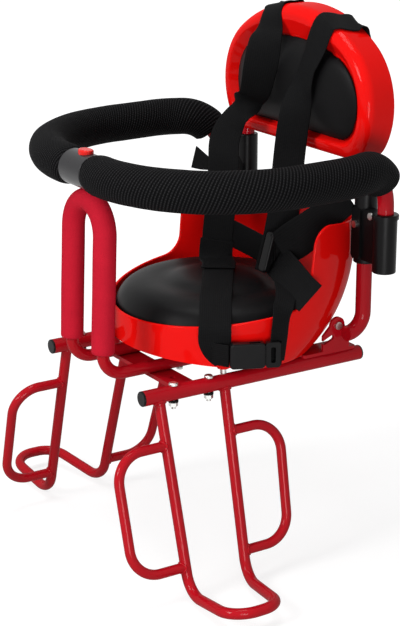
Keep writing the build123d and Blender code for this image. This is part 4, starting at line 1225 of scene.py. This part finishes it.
@dataclass
class Backrest:
    """D-shaped shell with its crowned pad."""

    centre_z: float = 341.5
    half_width: float = 130.5
    half_height: float = 58.0
    rear_y: float = 135.7
    held_depth: float = 4.0
    pad_depth: float = 14.0
    crown: float = 8.0
    edge_share: float = 0.75
    voxel: float = 4.0
    cap: float = 2.0

    def build(self) -> None:
        """Dress the shell and blow up its pad."""
        Finish.SHELL.dress("backrest_shell")
        pad = PaddedCushion("backrest_pad", "back_cushion", self.held, self.crowned, self.cap, self.voxel)
        pad.build()

    def held(self, spot: Vector) -> bool:
        """Tell whether the shell's dish holds a point of the pad."""
        return spot.y > self.rear_y - self.held_depth

    def crowned(self, spot: Vector) -> Vector:
        """Let the pad's front fall away, most of all towards its edge.

        Args:
            spot: A point of the plain pad.

        Returns:
            Its new place, nearer the dish.
        """
        across = abs(spot.x) / self.half_width
        up = abs(spot.z - self.centre_z) / self.half_height
        steep = max(across, up) ** 3
        broad = (across**2 + up**2) / 2
        share = min(1.0, self.edge_share * steep + (1.0 - self.edge_share) * broad)
        depth = (self.rear_y - spot.y) / self.pad_depth
        return spot + Vector((0.0, self.crown * share * max(0.0, depth), 0.0))


@dataclass(frozen=True)
class Station:
    """One place along a strap: its middle, the yaw and tilt of the line across it, its share of the width."""

    x: float
    y: float
    z: float
    yaw: float = 0.0
    tilt: float = 0.0
    share: float = 1.0

    def values(self) -> tuple[float, ...]:
        """Give the station's numbers."""
        return (self.x, self.y, self.z, self.yaw, self.tilt, self.share)


def lane(*rows: tuple[float, ...]) -> tuple[Station, ...]:
    """Turn rows of numbers into stations."""
    return tuple(Station(*row) for row in rows)


@dataclass
class Strap:
    """A length of webbing through stations, with stitched blocks where it is sewn."""

    name: str
    stations: tuple[Station, ...]
    nodes: tuple[str, ...] = ()
    width: float = 40.0
    thickness: float = 2.0
    step: float = 3.0
    segments: int = 24
    side_round: float = 0.55
    face_round: float = 0.3
    seams: tuple[tuple[float, float], ...] = ()
    seam_inset: float = 4.0
    stitch_pitch: float = 4.0
    stitch: Point = (0.45, 0.4, 1.5)
    frames: list[Matrix] = field(default_factory=list)
    lengths: list[float] = field(default_factory=list)

    def lay(self) -> None:
        """Lay a smooth line through the stations and set a frame at each step."""
        rows = [station.values() for station in self.stations]
        rows = [rows[0], *rows, rows[-1]]
        samples: list[list[float]] = []
        for before, first, second, after in zip(rows, rows[1:], rows[2:], rows[3:]):
            span = math.dist(first[:3], second[:3])
            count = max(2, math.ceil(span / self.step))
            for index in range(count):
                samples.append(self.between(before, first, second, after, index / count))
        samples.append(list(rows[-1]))
        points = [Vector(sample[:3]) for sample in samples]
        for index, (_, _, _, yaw, tilt, share) in enumerate(samples):
            flat = math.cos(math.radians(tilt))
            turn = math.radians(yaw)
            across = Vector((flat * math.cos(turn), flat * math.sin(turn), math.sin(math.radians(tilt))))
            narrow = Matrix.Diagonal((share, 1.0, 1.0, 1.0))
            self.frames.append(stood(points[index], across, heading(points, index)) @ narrow)
            step = (points[index] - points[index - 1]).length if index else 0.0
            self.lengths.append(self.lengths[-1] + step if index else 0.0)

    def between(
        self,
        before: Sequence[float],
        first: Sequence[float],
        second: Sequence[float],
        after: Sequence[float],
        share: float,
    ) -> list[float]:
        """Give the values between two stations, on a smooth line through their neighbours.

        Args:
            before: Values of the station before the first.
            first: Values of the first station.
            second: Values of the second station.
            after: Values of the station after the second.
            share: Share of the way from the first to the second.

        Returns:
            The values at that place.
        """
        result = []
        for a, b, c, d in zip(before, first, second, after):
            slope, bend = c - a, 2 * a - 5 * b + 4 * c - d
            rest = 3 * b - a - 3 * c + d
            result.append(b + 0.5 * share * (slope + share * (bend + share * rest)))
        return result

    def build(self) -> None:
        """Sweep the webbing, sew its seams and fit it."""
        self.lay()
        shape = bmesh.new()
        section = bmesh.ops.create_circle(shape, segments=self.segments, radius=1.0)["verts"]
        for vert in section:
            aside, out = vert.co.x, vert.co.y
            vert.co.x = math.copysign(abs(aside) ** self.side_round, aside) * self.width / 2
            vert.co.y = math.copysign(abs(out) ** self.face_round, out) * self.thickness / 2
        sides = [vert.co.x * MM for vert in section]
        rings = sweep(shape, section, self.frames)
        map_rings(shape, rings, lambda index: sides[index], False)
        fill_ends(shape)
        piece = shaded_object(self.name, shape, Finish.WEBBING)
        fit(piece, SEAT_BODY, Finish.WEBBING, *self.nodes)
        if self.seams:
            self.sew()

    def spot(self, travelled: float, aside: float, lift: float) -> Matrix:
        """Give the frame of a point on the strap's face.

        Args:
            travelled: Distance along the strap.
            aside: Distance from its middle line.
            lift: Distance out of its middle plane.

        Returns:
            The frame at that point.
        """
        index = min(range(len(self.lengths)), key=lambda item: abs(self.lengths[item] - travelled))
        ahead = travelled - self.lengths[index]
        return self.frames[index] @ Matrix.Translation((aside, lift, ahead))

    def sew(self) -> None:
        """Sew a boxed cross on both faces of each seam."""
        shape = bmesh.new()
        half = self.width / 2 - self.seam_inset
        for seam in self.seams:
            start, end = (mark if mark >= 0 else self.lengths[-1] + mark for mark in seam)
            corners = ((start, -half), (start, half), (end, half), (end, -half))
            box = tuple(zip(corners, corners[1:] + corners[:1]))
            cross = tuple(zip(corners[:2], corners[2:]))
            for first, second in box + cross:
                self.stitch_line(shape, first, second)
        piece = shaded_object(f"{self.name}_stitches", shape, Finish.WEBBING)
        fit(piece, SEAT_BODY, Finish.WEBBING)

    def stitch_line(
        self, shape: Shape, first: tuple[float, float], second: tuple[float, float]
    ) -> None:
        """Sew one line of stitches on both faces.

        Args:
            shape: The shape that takes the stitches.
            first: Place along and across the strap where the line starts.
            second: Place where it ends.
        """
        count = max(2, round(math.dist(first, second) / self.stitch_pitch))
        slope = math.atan2(second[1] - first[1], second[0] - first[0])
        for index in range(count):
            share = (index + 0.5) / count
            along = first[0] + (second[0] - first[0]) * share
            aside = first[1] + (second[1] - first[1]) * share
            for lift in (self.thickness / 2, -self.thickness / 2):
                matrix = self.spot(along, aside, lift) @ Matrix.Rotation(slope, 4, "Y")
                matrix = matrix @ Matrix.Diagonal((*self.stitch, 1.0))
                bmesh.ops.create_icosphere(shape, subdivisions=1, radius=1.0, matrix=matrix)


@dataclass
class Harness:
    """Shoulder straps, waist belts, lap straps and their fittings."""

    left_shoulder: tuple[Station, ...] = lane(
        (88, 170.8, 372, 0, -20), (87, 170.8, 398, 0, -20), (86, 170.2, 411, 0, -21),
        (84, 166.5, 422.9, 0, -22.5), (80, 152, 424.7, 0, -22), (74, 138.5, 426.9, 0, -20),
        (69.5, 129.5, 424.8, 0, -18), (66.5, 123.7, 414, 0, -14), (62.5, 121, 400, 0, -10),
        (55, 119.4, 384, -6, -8), (47.5, 118.2, 369, -9, -6), (40.5, 116, 346, 0, -4),
        (38, 111, 326, 26, -3), (41, 104, 306, 46, -3), (46, 95.5, 276, 52, -2), (51, 88, 242, 55),
        (53, 84, 210, 55), (55, 78, 180, 55), (56, 68, 142, 52), (57, 58, 112, 46),
    )
    right_shoulder: tuple[Station, ...] = lane(
        (-60, 170.8, 380, 0, 15), (-59, 170.8, 412, 0, 15.5), (-58, 170.2, 424, 0, 15.5),
        (-56, 166.5, 432.6, 0, 15), (-51, 152, 434.1, 0, 14), (-46, 138.5, 435.2, 0, 12.5),
        (-42.5, 129.5, 432.6, 0, 11), (-40, 123.3, 423, 4, 8), (-36, 118, 408, 14, 5, 1.05),
        (-31, 108, 391, 36, 2, 1.1), (-34, 102.5, 357, 52, 0, 1.1), (-43.6, 101, 324, 55),
        (-56, 98.5, 311, 44),
        (-63, 94.5, 299, 10), (-70, 87, 286, 22), (-72, 78.5, 272, 42), (-66, 68.5, 257, 52),
        (-55, 60.5, 234, 53), (-52, 56.5, 200, 53), (-52.5, 52.5, 161, 53), (-53, 48.5, 122, 53),
        (-53, 47.5, 108, 53),
    )
    patch: tuple[Station, ...] = lane(
        (-50.9, 48.4, 133, 53), (-51, 46.6, 119, 53), (-48.5, 44.8, 111.5, 53), (-42, 42, 109, 53.5),
        (-26, 35, 109, 54), (-8, 22, 109, 54),
    )
    tail: tuple[Station, ...] = lane(
        (-58, 57, 228, 0, 90, 0.3), (-70, 52, 229, 0, 90, 0.45), (-84, 46.5, 232, 0, 90, 0.75),
        (-97, 41.5, 236, 0, 85, 1.0),
    )
    right_waist: tuple[Station, ...] = lane(
        (-122, 134, 212, 0, 90), (-108, 113, 189, 0, 90), (-95, 92, 165, 0, 90), (-84.5, 75.5, 149, 0, 90),
        (-66, 66, 143, 0, 90), (-40, 68, 140, 0, 90), (0, 70, 136, 0, 90), (40, 68, 133, 0, 90),
        (62, 62, 131, 0, 90),
    )
    left_waist: tuple[Station, ...] = lane(
        (122, 133, 213, 0, 90), (113, 112, 197, 0, 90, 1.1), (100, 92, 177, 0, 90, 1.3),
        (86, 74, 159, 0, 90, 1.35), (72, 62, 146, 0, 90, 1.2),
    )
    hip_panel: tuple[Station, ...] = lane(
        (66, 62, 131, 85, 58), (100, 53, 127, 86, 57), (130, 45, 122, 87, 56), (152, 39, 118, 88, 56),
        (162, 38, 115, 88, 54), (170, 40, 111, 88, 52),
    )
    right_lap: tuple[Station, ...] = lane(
        (-49, 52, 105, 54), (-15, 27.5, 106, 54), (20, 3.2, 105.5, 54), (50, -17.5, 103, 54),
        (76.5, -36, 98.5, 54), (97, -49.5, 92, 54), (110.5, -58.5, 86.5, 54), (119, -64.5, 82, 54),
        (122.5, -67, 76, 54), (122, -66.5, 60, 54), (122.5, -62.5, 45, 54, 0, 0.82),
        (123, -56.5, 32, 54, 0, 0.5),
    )
    right_link: tuple[Station, ...] = lane(
        (119, -69, 46, 0, 90), (129, -64.2, 46, 0, 90), (139.9, -58.1, 46, 0, 90)
    )
    left_lap: tuple[Station, ...] = lane(
        (98, 52, 112, 50), (122, 37, 110, 52), (141, 24, 107.5, 56), (152, 14, 104, 65),
        (157, 8, 97, 80), (158.5, 5, 85, 90), (158, 3, 65, 90), (157, 1, 45, 90), (156, 0, 34, 90),
    )
    left_link: tuple[Station, ...] = lane((155, 8, 46, 0, 90), (160, 5, 46, 0, 90), (165.4, 0.9, 46, 0, 90))

    def build(self) -> None:
        """Build every strap and dress the fittings."""
        for strap in self.straps():
            strap.build()
        Finish.BLACK.dress("buckle_body", "buckle_tongue", "strap_slider")

    def straps(self) -> Iterator[Strap]:
        """Name the straps of the harness, with their widths and seams.

        Yields:
            Each strap, not yet built.
        """
        back_seam = ((8.0, 34.0),)
        yield Strap("left_shoulder_webbing", self.left_shoulder, ("left_shoulder_strap",), seams=back_seam)
        yield Strap("right_shoulder_webbing", self.right_shoulder, ("right_shoulder_strap",), seams=back_seam)
        yield Strap("seam_patch", self.patch, width=44.0, seams=((4.0, -4.0),))
        yield Strap("loose_tail", self.tail, width=32.0)
        yield Strap("right_waist_webbing", self.right_waist, ("right_waist_belt",), width=38.0)
        yield Strap("left_waist_webbing", self.left_waist, ("left_waist_belt",), width=36.0)
        yield Strap("hip_panel", self.hip_panel, width=42.0, seams=((6.0, 30.0),))
        yield Strap("right_lap_webbing", self.right_lap, ("right_lap_strap",))
        yield Strap("right_link_webbing", self.right_link, width=28.0)
        yield Strap("left_lap_webbing", self.left_lap, ("left_lap_strap",), width=25.0)
        yield Strap("left_link_webbing", self.left_link, width=28.0)


@dataclass
class Fittings:
    """Bolts, nuts, washers, screws and plugs."""

    threaded: tuple[str, ...] = ("rail_bolts", "rail_nuts", "bracket_bolts", "hinge_bolts", "backrest_bolts")
    under_seat: tuple[str, ...] = ("seat_studs", "seat_screws")

    def build(self) -> None:
        """Dress every fitting."""
        Finish.STEEL.dress(*self.threaded, *self.under_seat)
        Finish.RUBBER.dress("rail_washers")
        Finish.BLACK.dress("rail_plugs")


def main() -> None:
    """Build the studio and every sub-assembly of the seat."""
    logging.basicConfig(level=logging.INFO, format="%(name)s: %(message)s")
    Studio().build()
    for part in (SteelFrame(), GrabHandle(), GuardRing(), BucketSeat(), Backrest(), Harness(), Fittings()):
        part.build()


if __name__ == "__main__":
    main()
